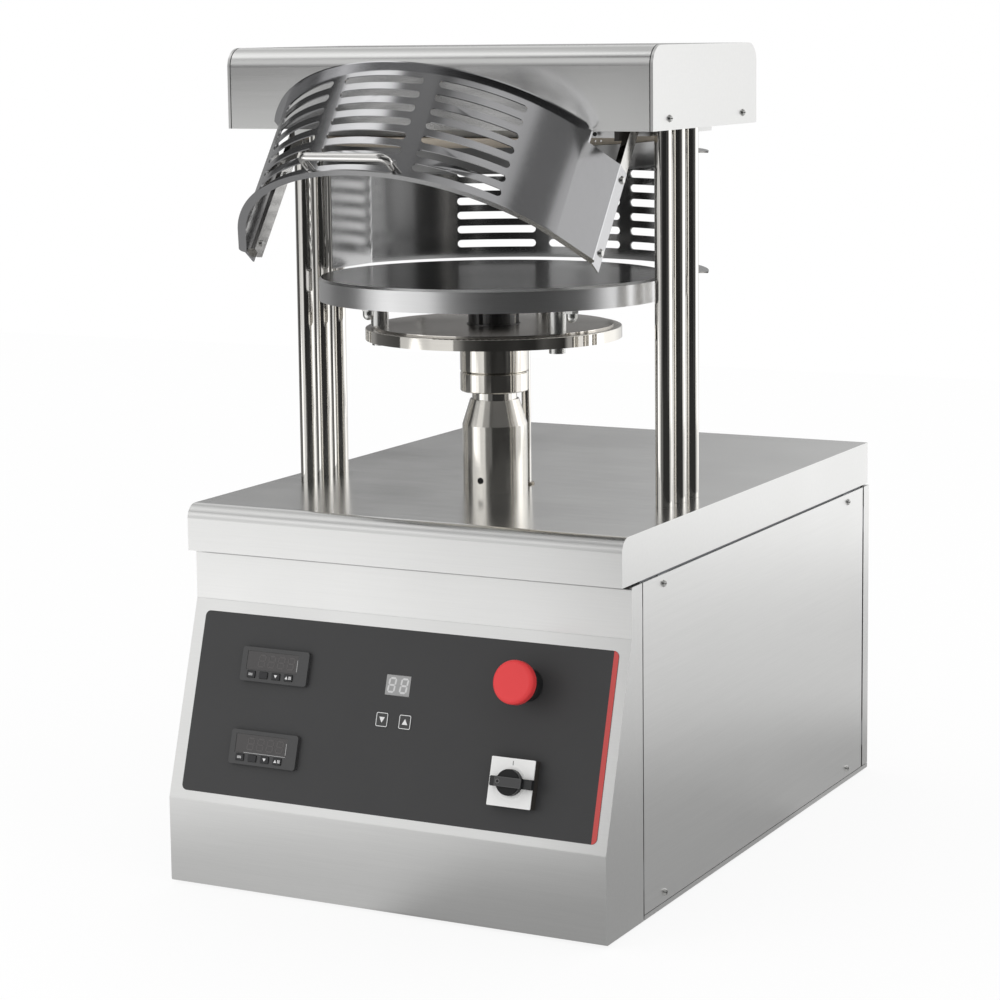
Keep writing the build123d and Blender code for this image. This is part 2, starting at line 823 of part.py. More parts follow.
# Lift shaft: a stud on top and a fork for the cam roller below
fork_bottom = roller_height - fork_below
with BuildPart() as lift_shaft:
    with BuildSketch(Plane.XY.offset(fork_bottom)):
        with Locations((0, axis_y)):
            Circle(shaft_radius)
    extrude(amount=carrier_bottom - fork_bottom)
    with BuildSketch(Plane.XY.offset(carrier_bottom)):
        with Locations((0, axis_y)):
            Circle(stud_radius)
    extrude(amount=carrier_thickness + centre_nut_height)
    with BuildSketch(Plane.YZ):
        with Locations((axis_y, roller_height + (fork_above - fork_below) / 2)):
            Rectangle(3 * shaft_radius, fork_above + fork_below)
    extrude(amount=fork_slot / 2, both=True, mode=Mode.SUBTRACT)
    with BuildSketch(Plane.YZ):
        with Locations((axis_y, roller_height)):
            Circle(roller_journal_radius + running_clearance)
    extrude(amount=shaft_radius, both=True, mode=Mode.SUBTRACT)
lift_shaft.part.label = "lift_shaft"
export_step(lift_shaft.part, "parts/lift_shaft.step")

# Clamp collars on the shaft, the lower one below a seam
collar_seam = collar_bottom + collar_lower_height
with BuildPart() as lift_collars:
    with BuildSketch(Plane.XY.offset(collar_bottom)):
        with Locations((0, axis_y)):
            Circle(collar_radius)
            Circle(shaft_radius + running_clearance, mode=Mode.SUBTRACT)
    extrude(amount=collar_lower_height - collar_groove / 4)
    with BuildSketch(Plane.XY.offset(collar_seam + collar_groove / 4)):
        with Locations((0, axis_y)):
            Circle(collar_radius)
            Circle(shaft_radius + running_clearance, mode=Mode.SUBTRACT)
    extrude(amount=carrier_bottom - collar_seam - collar_groove / 4)
    rims = lift_collars.edges().filter_by(GeomType.CIRCLE)
    outer_rims = rims.filter_by(lambda rim: rim.radius > (shaft_radius + collar_radius) / 2)
    chamfer(outer_rims, collar_groove)
lift_collars.part.label = "lift_collars"
export_step(lift_collars.part, "parts/lift_collars.step")

# Anti-rotation rod beside the shaft
with BuildPart() as guide_rod:
    with BuildSketch(Plane.XY.offset(carrier_bottom)):
        with Locations((rod_x, rod_y)):
            Circle(rod_radius)
    extrude(amount=-rod_length)
    chamfer(guide_rod.edges().group_by(Axis.Z)[0], rod_radius / 5)
guide_rod.part.label = "guide_rod"
export_step(guide_rod.part, "parts/guide_rod.step")

# Cam roller with its journals in the fork
with BuildPart() as follower_roller:
    with BuildSketch(Plane.YZ):
        with Locations((axis_y, roller_height)):
            Circle(roller_radius)
    extrude(amount=roller_width / 2, both=True)
    with BuildSketch(Plane.YZ):
        with Locations((axis_y, roller_height)):
            Circle(roller_journal_radius)
    extrude(amount=shaft_radius - panel_gap, both=True)
follower_roller.part.label = "follower_roller"
export_step(follower_roller.part, "parts/follower_roller.step")

# Guide sleeve with a tapered nose and a spigot through the worktop
sleeve_top = worktop_height + sleeve_height
bush_outer = shaft_radius + running_clearance + bush_wall
bush_bottom = worktop_height - sleeve_spigot_length
with BuildPart() as guide_sleeve:
    with BuildSketch(Plane.XZ.offset(-axis_y)):
        with BuildLine():
            Polyline(
                (shaft_radius + 2 * loose_clearance, sleeve_top),
                (sleeve_tip_radius, sleeve_top),
                (sleeve_radius, sleeve_top - sleeve_cone_height),
                (sleeve_radius, worktop_height),
                (sleeve_spigot_radius, worktop_height),
                (sleeve_spigot_radius, bush_bottom),
                (bush_outer + running_clearance, bush_bottom),
                (bush_outer + running_clearance, bush_bottom + bush_length),
                (shaft_radius + 2 * loose_clearance, bush_bottom + bush_length),
                close=True,
            )
        make_face()
    revolve(axis=Axis((0, axis_y, 0), (0, 0, 1)))
    with BuildSketch(Plane.XZ.offset(-axis_y + sleeve_radius)):
        with Locations((0, worktop_height + set_screw_height)):
            Circle(set_screw_radius)
    extrude(amount=-set_screw_depth, mode=Mode.SUBTRACT)
guide_sleeve.part.label = "guide_sleeve"
export_step(guide_sleeve.part, "parts/guide_sleeve.step")

# Bronze bushes of the shaft and of the rod
with BuildPart() as guide_bushes:
    with BuildSketch(Plane.XY.offset(bush_bottom)):
        with Locations((0, axis_y)):
            Circle(bush_outer)
            Circle(shaft_radius + running_clearance, mode=Mode.SUBTRACT)
    extrude(amount=bush_length)
    with BuildSketch(Plane.XY.offset(worktop_height + rod_bush_stand)):
        with Locations((rod_x, rod_y)):
            Circle(rod_bush_radius)
            Circle(rod_radius + running_clearance, mode=Mode.SUBTRACT)
    extrude(amount=-rod_bush_length)
guide_bushes.part.label = "guide_bushes"
export_step(guide_bushes.part, "parts/guide_bushes.step")

# Constant-lift spiral cam: its edge stays one roller radius inside the roller's path
cam_rate = lift_stroke / math.radians(cam_lift_angle)
cam_reach = roller_radius + cam_gap
cam_low = cam_rest_pitch - cam_reach
cam_high = cam_low + lift_stroke


def cam_round(radius, turn):
    """Point at this radius from the cam's axis, this far round from the top."""
    angle = math.radians(90 + turn)
    return (axis_y + radius * math.cos(angle), cam_axis_height + radius * math.sin(angle))


def cam_contact(turn, share=1.0):
    """Point of the cam's edge under the roller, with this share of the edge's tilt there."""
    pitch = cam_rest_pitch + cam_rate * math.radians(turn)
    tilt = share * math.atan2(cam_rate, pitch)
    y, z = cam_round(pitch, turn)
    angle = math.radians(90 + turn) - tilt
    return (y - cam_reach * math.cos(angle), z - cam_reach * math.sin(angle))


cam_steps = 20
cam_edge = [cam_contact(cam_lift_angle * step / cam_steps) for step in range(cam_steps + 1)]
cam_end = cam_lift_angle + cam_top_dwell
with BuildPart() as cam:
    with BuildSketch(Plane.YZ):
        with BuildLine():
            low = ThreePointArc(
                cam_round(cam_low, -cam_rest_dwell),
                cam_round(cam_low, -cam_rest_dwell / 2),
                cam_round(cam_low, 0),
            )
            ThreePointArc(low @ 1, cam_contact(0, 0.5), cam_contact(0))
            Spline(*cam_edge)
            high = ThreePointArc(
                cam_edge[-1],
                cam_round(cam_high, cam_lift_angle + cam_top_dwell / 2),
                cam_round(cam_high, cam_end),
            )
            Line(high @ 1, low @ 0)
        make_face()
    extrude(amount=cam_thickness / 2, both=True)
    with BuildSketch(Plane.YZ):
        with Locations((axis_y, cam_axis_height)):
            Circle(cam_hub_radius)
    extrude(amount=cam_hub_length / 2, both=True)
    with BuildSketch(Plane.YZ.offset(-bearing_x)):
        with Locations((axis_y, cam_axis_height)):
            Circle(cam_shaft_radius)
    extrude(amount=bearing_x + gearbox_x + gearbox_bore_depth - loose_clearance)
cam.part.label = "cam"
export_step(cam.part, "parts/cam.step")

# Gearbox and motor
with BuildPart() as gearbox:
    with BuildSketch(Plane.YZ.offset(gearbox_x)):
        with Locations((axis_y, cam_axis_height)):
            RectangleRounded(gearbox_width, gearbox_height, gearbox_corner)
    extrude(amount=gearbox_length)
    with BuildSketch(Plane.YZ.offset(gearbox_x)):
        with Locations((axis_y, cam_axis_height)):
            Circle(cam_shaft_radius + running_clearance)
    extrude(amount=gearbox_bore_depth, mode=Mode.SUBTRACT)
gearbox.part.label = "gearbox"
export_step(gearbox.part, "parts/gearbox.step")

motor_start = gearbox_x + gearbox_length
fin_pitch = motor_length / (motor_fins + 1)
with BuildPart() as motor:
    with BuildSketch(Plane.YZ.offset(motor_start)):
        with Locations((axis_y, cam_axis_height)):
            Circle(motor_radius)
    extrude(amount=motor_length)
    for fin in range(1, motor_fins + 1):
        with BuildSketch(Plane.YZ.offset(motor_start + fin * fin_pitch)):
            with Locations((axis_y, cam_axis_height)):
                Circle(motor_radius)
                Circle(motor_radius - motor_fin_depth, mode=Mode.SUBTRACT)
        extrude(amount=fin_pitch / 2, mode=Mode.SUBTRACT)
motor.part.label = "motor"
export_step(motor.part, "parts/motor.step")

# Drive bracket: base plate, outer bearing stand and gearbox seat
gearbox_underside = cam_axis_height - gearbox_height / 2
bracket_start = -bearing_x - bracket_plate
bracket_length = gearbox_x + gearbox_length - bracket_start
with BuildPart() as drive_bracket:
    with BuildSketch(Plane.XY.offset(tray_floor)):
        with Locations((bracket_start + bracket_length / 2, axis_y)):
            Rectangle(bracket_length, bracket_width)
    extrude(amount=bracket_plate)
    with BuildSketch(Plane.XY.offset(tray_floor)):
        with Locations((-bearing_x + bearing_length / 2, axis_y)):
            Rectangle(bearing_length, bearing_width)
    extrude(amount=cam_axis_height + bearing_over - tray_floor)
    with BuildSketch(Plane.XY.offset(tray_floor)):
        for seat_x in (gearbox_x + bracket_plate / 2, gearbox_x + gearbox_length - bracket_plate / 2):
            with Locations((seat_x, axis_y)):
                Rectangle(bracket_plate, gearbox_width)
    extrude(amount=gearbox_underside - tray_floor)
    with BuildSketch(Plane.YZ.offset(-bearing_x)):
        with Locations((axis_y, cam_axis_height)):
            Circle(cam_shaft_radius + running_clearance)
    extrude(amount=bearing_length, mode=Mode.SUBTRACT)
drive_bracket.part.label = "drive_bracket"
export_step(drive_bracket.part, "parts/drive_bracket.step")

# Control gear on an upright plate
with BuildPart() as control_gear:
    with BuildSketch(Plane.XY.offset(tray_floor)):
        with Locations((gear_plate_x, gear_plate_y)):
            Rectangle(gear_plate_length, 2 * sheet)
    extrude(amount=gear_plate_height)
    with BuildSketch(Plane.XY.offset(tray_floor + gear_unit_rise)):
        with Locations((gear_plate_x, gear_plate_y - sheet - gear_unit_depth / 2)):
            with GridLocations(gear_unit_pitch, 0, gear_units, 1):
                Rectangle(gear_unit_width, gear_unit_depth)
    extrude(amount=gear_unit_height)
control_gear.part.label = "control_gear"
export_step(control_gear.part, "parts/control_gear.step")

# Rear guard: flat side walls, a bend and a slotted arc with rolled-out flanges
rear_centre_y = axis_y + rear_arc_behind_axis
rear_sweep = math.degrees(
    math.asin((rear_wall_x - rear_bend_radius) / (rear_arc_radius - rear_bend_radius))
)
rear_guard_mid = rear_guard_bottom + guard_height / 2
rear_bend_turn = 90 - rear_sweep
with BuildPart() as rear_guard:
    with BuildSketch(Plane.XY.offset(rear_guard_bottom)):
        with BuildLine():
            arc = CenterArc(
                (0, rear_centre_y), rear_arc_radius, 90 - rear_sweep, 2 * rear_sweep
            )
            left_bend = JernArc(arc @ 1, arc % 1, rear_bend_radius, rear_bend_turn)
            Line(left_bend @ 1, ((left_bend @ 1).X, axis_y))
            right_bend = JernArc(arc @ 0, -(arc % 0), rear_bend_radius, -rear_bend_turn)
            Line(right_bend @ 1, ((right_bend @ 1).X, axis_y))
            offset(amount=sheet, side=Side.LEFT)
        make_face()
    extrude(amount=guard_height)
    for flange_z in (rear_guard_bottom, rear_guard_bottom + guard_height - sheet):
        with BuildSketch(Plane.XY.offset(flange_z)):
            with BuildLine():
                outer = CenterArc(
                    (0, rear_centre_y),
                    rear_arc_radius + rear_flange,
                    90 - rear_sweep,
                    2 * rear_sweep,
                )
                inner = CenterArc(
                    (0, rear_centre_y), rear_arc_radius - sheet / 2, 90 - rear_sweep, 2 * rear_sweep
                )
                Line(outer @ 0, inner @ 0)
                Line(outer @ 1, inner @ 1)
            make_face()
        extrude(amount=sheet)
    for bank in (-1, 0, 1):
        turn = bank * bank_pitch / rear_arc_radius
        bank_plane = Plane(
            origin=(0, rear_centre_y, rear_guard_mid),
            x_dir=(math.cos(turn), -math.sin(turn), 0),
            z_dir=(math.sin(turn), math.cos(turn), 0),
        )
        with BuildSketch(bank_plane.offset(rear_arc_radius - slot_cut / 2)):
            with GridLocations(0, slot_pitch, 1, slot_rows):
                SlotOverall(slot_length, slot_width)
        extrude(amount=slot_cut, mode=Mode.SUBTRACT)
rear_guard.part.label = "rear_guard"
export_step(rear_guard.part, "parts/rear_guard.step")

# Saddle blocks between the rear guard's walls and the rear columns
saddle_x = rear_wall_x + rear_bracket_depth / 2
saddle_heights = (
    rear_guard_bottom + rear_bracket_rise,
    rear_guard_bottom + guard_height - rear_bracket_rise,
)
with BuildPart() as rear_guard_brackets:
    for side in (-1, 1):
        for saddle_z in saddle_heights:
            with Locations((side * saddle_x, axis_y + column_pitch, saddle_z)):
                Box(rear_bracket_depth, rear_bracket_width, rear_bracket_height)
    with BuildSketch(Plane.XY.offset(rear_guard_bottom)):
        with Locations(*column_points):
            Circle(column_radius + running_clearance)
    extrude(amount=guard_height, mode=Mode.SUBTRACT)
rear_guard_brackets.part.label = "rear_guard_brackets"
export_step(rear_guard_brackets.part, "parts/rear_guard_brackets.step")

# Front guard, drawn in the plane of its pivots, which leans back while it is raised
lean = math.radians(guard_open_angle)
guard_plane = Plane(
    origin=(0, pivot_y, pivot_height),
    x_dir=(1, 0, 0),
    z_dir=(0, math.sin(lean), math.cos(lean)),
)
guard_top = -guard_drop
guard_bottom = guard_top - guard_height
arc_end_x = front_arc_radius * math.sin(math.radians(front_arc_sweep))
bend_run = wing_bend_radius * (
    math.sin(math.radians(wing_angle)) - math.sin(math.radians(front_arc_sweep))
)
fold_run = fold_radius * (1 - math.sin(math.radians(wing_angle)))
flange_x = arm_outer_x + sheet
wing_run = flange_x - arc_end_x - bend_run - fold_run
wing_length = wing_run / math.cos(math.radians(wing_angle))
wing_rise = wing_run * math.tan(math.radians(wing_angle))
bend_rise = wing_bend_radius * (
    math.cos(math.radians(front_arc_sweep)) - math.cos(math.radians(wing_angle))
)
fold_rise = fold_radius * math.cos(math.radians(wing_angle))
arc_end_before_pivot = arm_width / 2 + arm_fold_gap + fold_rise + wing_rise + bend_rise
front_arc_behind_pivot = (
    front_arc_radius * math.cos(math.radians(front_arc_sweep)) - arc_end_before_pivot
)
step_x = arc_end_x + wing_step * math.cos(math.radians(wing_angle))
wing_top = guard_top - wing_top_drop
trim_width = flange_x + front_flange - step_x


def on_guard(plane):
    """Place a plane given in the guard's own frame."""
    return Plane(guard_plane.location * plane.location)


def guard_outline(folded):
    """Draw the guard's outer outline in plan, with or without the folds along its arms."""
    arc = CenterArc((0, front_arc_behind_pivot), front_arc_radius, 270, front_arc_sweep)
    bend = JernArc(arc @ 1, arc % 1, wing_bend_radius, wing_angle - front_arc_sweep)
    wing = Line(bend @ 1, bend @ 1 + (bend % 1) * wing_length)
    if folded:
        fold = JernArc(wing @ 1, wing % 1, fold_radius, 90 - wing_angle)
        Line(fold @ 1, fold @ 1 + Vector(0, arm_width))
    mirror(about=Plane.YZ)


with BuildPart() as front_guard:
    with BuildSketch(guard_plane.offset(guard_bottom)):
        with BuildLine():
            guard_outline(folded=True)
            offset(amount=sheet, side=Side.LEFT)
        make_face()
    extrude(amount=guard_height)
    with BuildSketch(guard_plane.offset(guard_bottom)) as lower_flange:
        with BuildLine():
            guard_outline(folded=False)
            offset(amount=front_flange, side=Side.RIGHT)
        make_face()
        corners = lower_flange.vertices().sort_by(Axis.X)
        fillet([corners[0], corners[-1]], front_flange_corner)
    extrude(amount=sheet)
    with BuildSketch(guard_plane.offset(guard_top)) as upper_flange:
        with BuildLine():
            outer = CenterArc(
                (0, front_arc_behind_pivot),
                front_arc_radius + front_flange,
                270 - front_arc_sweep,
                2 * front_arc_sweep,
            )
            inner = CenterArc(
                (0, front_arc_behind_pivot),
                front_arc_radius - sheet / 2,
                270 - front_arc_sweep,
                2 * front_arc_sweep,
            )
            Line(outer @ 0, inner @ 0)
            Line(outer @ 1, inner @ 1)
        make_face()
        corners = upper_flange.vertices().sort_by(Axis.X)
        fillet([corners[0], corners[-1]], front_flange_corner)
    extrude(amount=-sheet)
    with BuildSketch(on_guard(Plane.XZ)):
        for side in (-1, 1):
            with Locations((side * (step_x + trim_width / 2), wing_top + wing_top_drop / 2)):
                Rectangle(trim_width, wing_top_drop)
    extrude(amount=front_arc_radius, both=True, mode=Mode.SUBTRACT)
    for bank in (-1, 0, 1):
        turn = bank * bank_pitch / front_arc_radius
        bank_plane = Plane(
            origin=(0, front_arc_behind_pivot, (guard_top + guard_bottom) / 2),
            x_dir=(math.cos(turn), math.sin(turn), 0),
            z_dir=(math.sin(turn), -math.cos(turn), 0),
        )
        with BuildSketch(on_guard(bank_plane.offset(front_arc_radius - slot_cut / 2))):
            with GridLocations(0, slot_pitch, 1, slot_rows):
                SlotOverall(slot_length, slot_width)
        extrude(amount=slot_cut, mode=Mode.SUBTRACT)
    with BuildSketch(on_guard(Plane.YZ)):
        for step in (0, 1):
            with Locations((0, guard_top - arm_screw_first - step * arm_screw_pitch)):
                Circle(arm_screw_radius + running_clearance)
    extrude(amount=flange_x + sheet, both=True, mode=Mode.SUBTRACT)
front_guard.part.label = "front_guard"
export_step(front_guard.part, "parts/front_guard.step")

# Guard arms
arm_end = guard_bottom + arm_short
with BuildPart() as guard_arms:
    with BuildSketch(on_guard(Plane.YZ.offset(arm_inner_x))):
        with Locations((0, (arm_above_pivot + arm_end) / 2)):
            Rectangle(arm_width, arm_above_pivot - arm_end)
        Circle(pivot_radius + running_clearance, mode=Mode.SUBTRACT)
        for step in (0, 1):
            with Locations((0, guard_top - arm_screw_first - step * arm_screw_pitch)):
                Circle(arm_screw_radius + running_clearance, mode=Mode.SUBTRACT)
    extrude(amount=arm_thickness)
    mirror(about=Plane.YZ)
guard_arms.part.label = "guard_arms"
export_step(guard_arms.part, "parts/guard_arms.step")

# Screws that hold the guard's folds to the arms
with BuildPart() as guard_fasteners:
    for step in (0, 1):
        screw_z = guard_top - arm_screw_first - step * arm_screw_pitch
        with BuildSketch(on_guard(Plane.YZ.offset(flange_x))):
            with Locations((0, screw_z)):
                Circle(arm_screw_head)
        extrude(amount=arm_screw_height, taper=30)
        with BuildSketch(on_guard(Plane.YZ.offset(flange_x))):
            with Locations((0, screw_z)):
                Circle(arm_screw_radius)
        extrude(amount=-sheet - arm_thickness - arm_screw_stand)
    mirror(about=Plane.YZ)
guard_fasteners.part.label = "guard_fasteners"
export_step(guard_fasteners.part, "parts/guard_fasteners.step")

# Handle: a round bar bent into a bail
handle_z = guard_bottom + handle_rise
foot_y = front_arc_behind_pivot - math.sqrt(front_arc_radius**2 - (handle_span / 2) ** 2)
bar_y = front_arc_behind_pivot - front_arc_radius - handle_reach
with BuildPart() as guard_handle:
    with BuildLine(guard_plane.offset(handle_z)) as handle_path:
        FilletPolyline(
            (-handle_span / 2, foot_y + handle_radius),
            (-handle_span / 2, bar_y),
            (handle_span / 2, bar_y),
            (handle_span / 2, foot_y + handle_radius),
            radius=handle_bend,
        )
    with BuildSketch(Plane(handle_path.line @ 0, z_dir=handle_path.line % 0)):
        Circle(handle_radius)
    sweep()
    with BuildSketch(guard_plane.offset(handle_z - handle_radius - handle_trim)):
        with Locations((0, front_arc_behind_pivot)):
            Circle(front_arc_radius + loose_clearance)
    extrude(amount=2 * (handle_radius + handle_trim), mode=Mode.SUBTRACT)
guard_handle.part.label = "guard_handle"
export_step(guard_handle.part, "parts/guard_handle.step")

# Pivot brackets on the beam and their shouldered bolts
bracket_outer_x = arm_inner_x - pivot_bracket_gap
bracket_inner_x = bracket_outer_x - pivot_bracket_thickness
with BuildPart() as guard_pivots:
    with BuildSketch(Plane.YZ.offset(bracket_inner_x)):
        with BuildLine():
            Polyline(
                (pivot_y + pivot_bracket_width / 2, pivot_height),
                (pivot_y + pivot_bracket_width / 2, beam_top),
                (pivot_y - pivot_bracket_width / 2, beam_top),
                (pivot_y - pivot_bracket_width / 2, pivot_height),
            )
            ThreePointArc(
                (pivot_y - pivot_bracket_width / 2, pivot_height),
                (pivot_y, pivot_height + pivot_bracket_width / 2),
                (pivot_y + pivot_bracket_width / 2, pivot_height),
            )
        make_face()
        with Locations((pivot_y, pivot_height)):
            Circle(pivot_radius + running_clearance, mode=Mode.SUBTRACT)
    extrude(amount=pivot_bracket_thickness)
    with BuildSketch(Plane.YZ.offset(bracket_inner_x)):
        with Locations((pivot_y, pivot_height)):
            Circle(pivot_radius)
    extrude(amount=arm_outer_x - bracket_inner_x + loose_clearance)
    with BuildSketch(Plane.YZ.offset(bracket_outer_x + running_clearance)):
        with Locations((pivot_y, pivot_height)):
            Circle(pivot_head_radius)
    extrude(amount=pivot_bracket_gap - 2 * running_clearance)
    with BuildSketch(Plane.YZ.offset(arm_outer_x + running_clearance)):
        with Locations((pivot_y, pivot_height)):
            Circle(pivot_head_radius)
    extrude(amount=pivot_head_height)
    mirror(about=Plane.YZ)
guard_pivots.part.label = "guard_pivots"
export_step(guard_pivots.part, "parts/guard_pivots.step")

# Guard position switches in the beam's slots, beside the arms
switch_block_width = arm_slot_margin - switch_block_gap
switch_block_x = arm_slot_inner_x + switch_block_width / 2
with BuildPart() as guard_switches:
    for side in (-1, 1):
        with BuildSketch(Plane.XY.offset(beam_bottom - switch_block_drop)):
            with Locations((side * switch_block_x, beam_front_y + switch_block_depth / 2)):
                Rectangle(switch_block_width, switch_block_depth)
        extrude(amount=switch_block_height)
guard_switches.part.label = "guard_switches"
export_step(guard_switches.part, "parts/guard_switches.step")

# Printed overlay of the console
overlay_face = console.offset(overlay_thickness)
with BuildPart() as console_overlay:
    with BuildSketch(console):
        with Locations((overlay_shift, 0)):
            RectangleRounded(overlay_width, overlay_height, overlay_corner)
        with Locations((timer_x, timer_y)):
            Rectangle(
                timer_width + 2 * window_clearance,
                timer_height + 2 * window_clearance,
                mode=Mode.SUBTRACT,
            )
    extrude(amount=overlay_thickness)
    extrude(console_openings.sketch, amount=overlay_thickness, mode=Mode.SUBTRACT)
console_overlay.part.label = "console_overlay"
export_step(console_overlay.part, "parts/console_overlay.step")

# Temperature controllers with recessed windows and key pockets
key_points = [
    (x + key_shift + (column - 1.5) * key_spacing, y - key_drop)
    for x, y in controller_points
    for column in range(4)
]
window_points = [(x + window_shift, y + window_rise) for x, y in controller_points]
bezel_face = console.offset(bezel_thickness)
with BuildPart() as controllers:
    with BuildSketch(overlay_face):
        with Locations(*controller_points):
            RectangleRounded(bezel_width, bezel_height, bezel_corner)
    extrude(amount=bezel_thickness - overlay_thickness)
    with BuildSketch(overlay_face):
        with Locations(*controller_points):
            Rectangle(controller_body_width, controller_body_height)
    extrude(amount=-controller_body_depth)
    with BuildSketch(bezel_face):
        with Locations(*window_points):
            Rectangle(window_width + 2 * window_clearance, window_height + 2 * window_clearance)
    extrude(amount=-window_recess, mode=Mode.SUBTRACT)
    with BuildSketch(bezel_face):
        with Locations(*key_points):
            Rectangle(key_width + 2 * key_gap, key_height + 2 * key_gap)
    extrude(amount=key_proud - key_depth - key_travel - key_gap, mode=Mode.SUBTRACT)
controllers.part.label = "controllers"
export_step(controllers.part, "parts/controllers.step")

# Dark display windows: two in the controllers, one in the overlay
with BuildPart() as display_windows:
    with BuildSketch(bezel_face.offset(-window_recess)):
        with Locations(*window_points):
            Rectangle(window_width, window_height)
    extrude(amount=window_thickness)
    with BuildSketch(console):
        with Locations((timer_x, timer_y)):
            Rectangle(timer_width, timer_height)
    extrude(amount=window_thickness)
display_windows.part.label = "display_windows"
export_step(display_windows.part, "parts/display_windows.step")


def make_key(name, point, width, height, corner, top, depth):
    """Export one sprung key whose face stands this far above the panel."""
    with BuildPart() as key:
        with BuildSketch(console.offset(top - depth)):
            with Locations(point):
                RectangleRounded(width, height, corner)
        extrude(amount=depth)
    key.part.label = name
    export_step(key.part, "parts/" + name + ".step")


# Controller keys
key_top = bezel_thickness + key_proud
for index, point in enumerate(key_points):
    row = ("upper", "lower")[index // 4]
    key_name = row + "_key_" + str(index % 4 + 1)
    make_key(key_name, point, key_width, key_height, key_corner, key_top, key_depth)

# Platen down and up keys
arrow_key_top = overlay_thickness + arrow_key_proud
for key_name, point in zip(("down_key", "up_key"), arrow_points):
    make_key(
        key_name,
        point,
        arrow_key_width,
        arrow_key_height,
        arrow_key_corner,
        arrow_key_top,
        arrow_key_depth,
    )

# Emergency stop: collar with its barrel, and the contact block behind the panel
estop_point = (button_x, estop_y)
block_face = console.offset(-sheet)
with BuildPart() as estop_body:
    with BuildSketch(overlay_face):
        with Locations(estop_point):
            Circle(estop_collar_radius)
    extrude(amount=estop_collar_height, taper=8)
    with BuildSketch(overlay_face):
        with Locations(estop_point):
            Circle(estop_barrel_radius)
    extrude(amount=-estop_stem_below)
    with BuildSketch(overlay_face.offset(estop_collar_height)):
        with Locations(estop_point):
            Circle(estop_stem_radius + running_clearance)
    extrude(amount=-estop_collar_height - estop_stem_below, mode=Mode.SUBTRACT)
    with BuildSketch(block_face):
        with Locations(estop_point):
            Rectangle(estop_block, estop_block)
            Circle(estop_barrel_radius + running_clearance, mode=Mode.SUBTRACT)
    extrude(amount=-estop_block_depth)
estop_body.part.label = "estop_body"
export_step(estop_body.part, "parts/estop_body.step")

# Emergency stop: sliding stem
estop_under = overlay_thickness + estop_head_lift
with BuildPart() as estop_stem:
    with BuildSketch(console.offset(-estop_stem_below)):
        with Locations(estop_point):
            Circle(estop_stem_radius)
    extrude(amount=estop_stem_below + estop_under + estop_stem_radius)
estop_stem.part.label = "estop_stem"
export_step(estop_stem.part, "parts/estop_stem.step")

# Emergency stop: mushroom head with a rounded rim
with BuildPart() as estop_button:
    with BuildSketch(console.offset(estop_under)):
        with Locations(estop_point):
            Circle(estop_head_radius)
    extrude(amount=estop_head_height)
    rims = estop_button.edges().filter_by(GeomType.CIRCLE).sort_by(Axis(console.origin, console.z_dir))
    fillet(rims[-1], estop_face_round)
    fillet(estop_button.edges().sort_by(Axis(console.origin, console.z_dir))[0], estop_rim_round)
    with BuildSketch(console.offset(estop_under)):
        with Locations(estop_point):
            Circle(estop_stem_radius + running_clearance)
    extrude(amount=estop_stem_radius, mode=Mode.SUBTRACT)
estop_button.part.label = "estop_button"
export_step(estop_button.part, "parts/estop_button.step")

# Main switch: base with its contact block behind the panel
switch_point = (button_x, switch_y)
base_top = overlay_thickness + switch_base_height
with BuildPart() as switch_base:
    with BuildSketch(overlay_face):
        with Locations(switch_point):
            RectangleRounded(switch_size, switch_size, switch_corner)
    extrude(amount=switch_base_height)
    with BuildSketch(overlay_face):
        with Locations(switch_point):
            Rectangle(switch_block, switch_block)
    extrude(amount=-switch_block_length)
    with BuildSketch(console.offset(base_top)):
        with Locations(switch_point):
            Circle(switch_hub_radius + running_clearance)
    extrude(amount=-switch_size / 2, mode=Mode.SUBTRACT)
switch_base.part.label = "switch_base"
export_step(switch_base.part, "parts/switch_base.step")

# Main switch: face plate with a ring round the knob
plate_face = base_top + switch_plate_thickness
with BuildPart() as switch_plate:
    with BuildSketch(console.offset(base_top)):
        with Locations(switch_point):
            RectangleRounded(switch_size, switch_size, switch_corner)
    extrude(amount=switch_plate_thickness)
    with BuildSketch(console.offset(plate_face)):
        with Locations(switch_point):
            Circle(knob_ring_radius)
            Circle(knob_radius + loose_clearance, mode=Mode.SUBTRACT)
    extrude(amount=knob_ring_height)
    with BuildSketch(console.offset(base_top)):
        with Locations(switch_point):
            Circle(switch_hub_radius + running_clearance)
    extrude(amount=switch_plate_thickness, mode=Mode.SUBTRACT)
switch_plate.part.label = "switch_plate"
export_step(switch_plate.part, "parts/switch_plate.step")

# Main switch: knob with a stepped bar
bar_under = plate_face + knob_ring_height + loose_clearance
bar_mid_x = button_x + knob_bar_shift
with BuildPart() as switch_knob:
    with BuildSketch(console.offset(plate_face + running_clearance)):
        with Locations(switch_point):
            Circle(knob_radius)
    extrude(amount=knob_height)
    with BuildSketch(console.offset(bar_under)):
        with Locations((bar_mid_x, switch_y)):
            RectangleRounded(knob_bar_length, knob_bar_width, knob_bar_corner)
    extrude(amount=knob_bar_height)
    with BuildSketch(console.offset(bar_under + knob_bar_height)):
        for side in (-1, 1):
            with Locations((bar_mid_x + side * (knob_bar_length - knob_step) / 2, switch_y)):
                Rectangle(knob_step, knob_bar_width)
    extrude(amount=-knob_step_drop, mode=Mode.SUBTRACT)
    with BuildSketch(console.offset(plate_face + running_clearance)):
        with Locations(switch_point):
            Circle(switch_hub_radius)
    extrude(amount=-switch_size / 3)
switch_knob.part.label = "switch_knob"
export_step(switch_knob.part, "parts/switch_knob.step")
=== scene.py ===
"""Looks of the heated pizza press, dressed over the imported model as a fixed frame."""

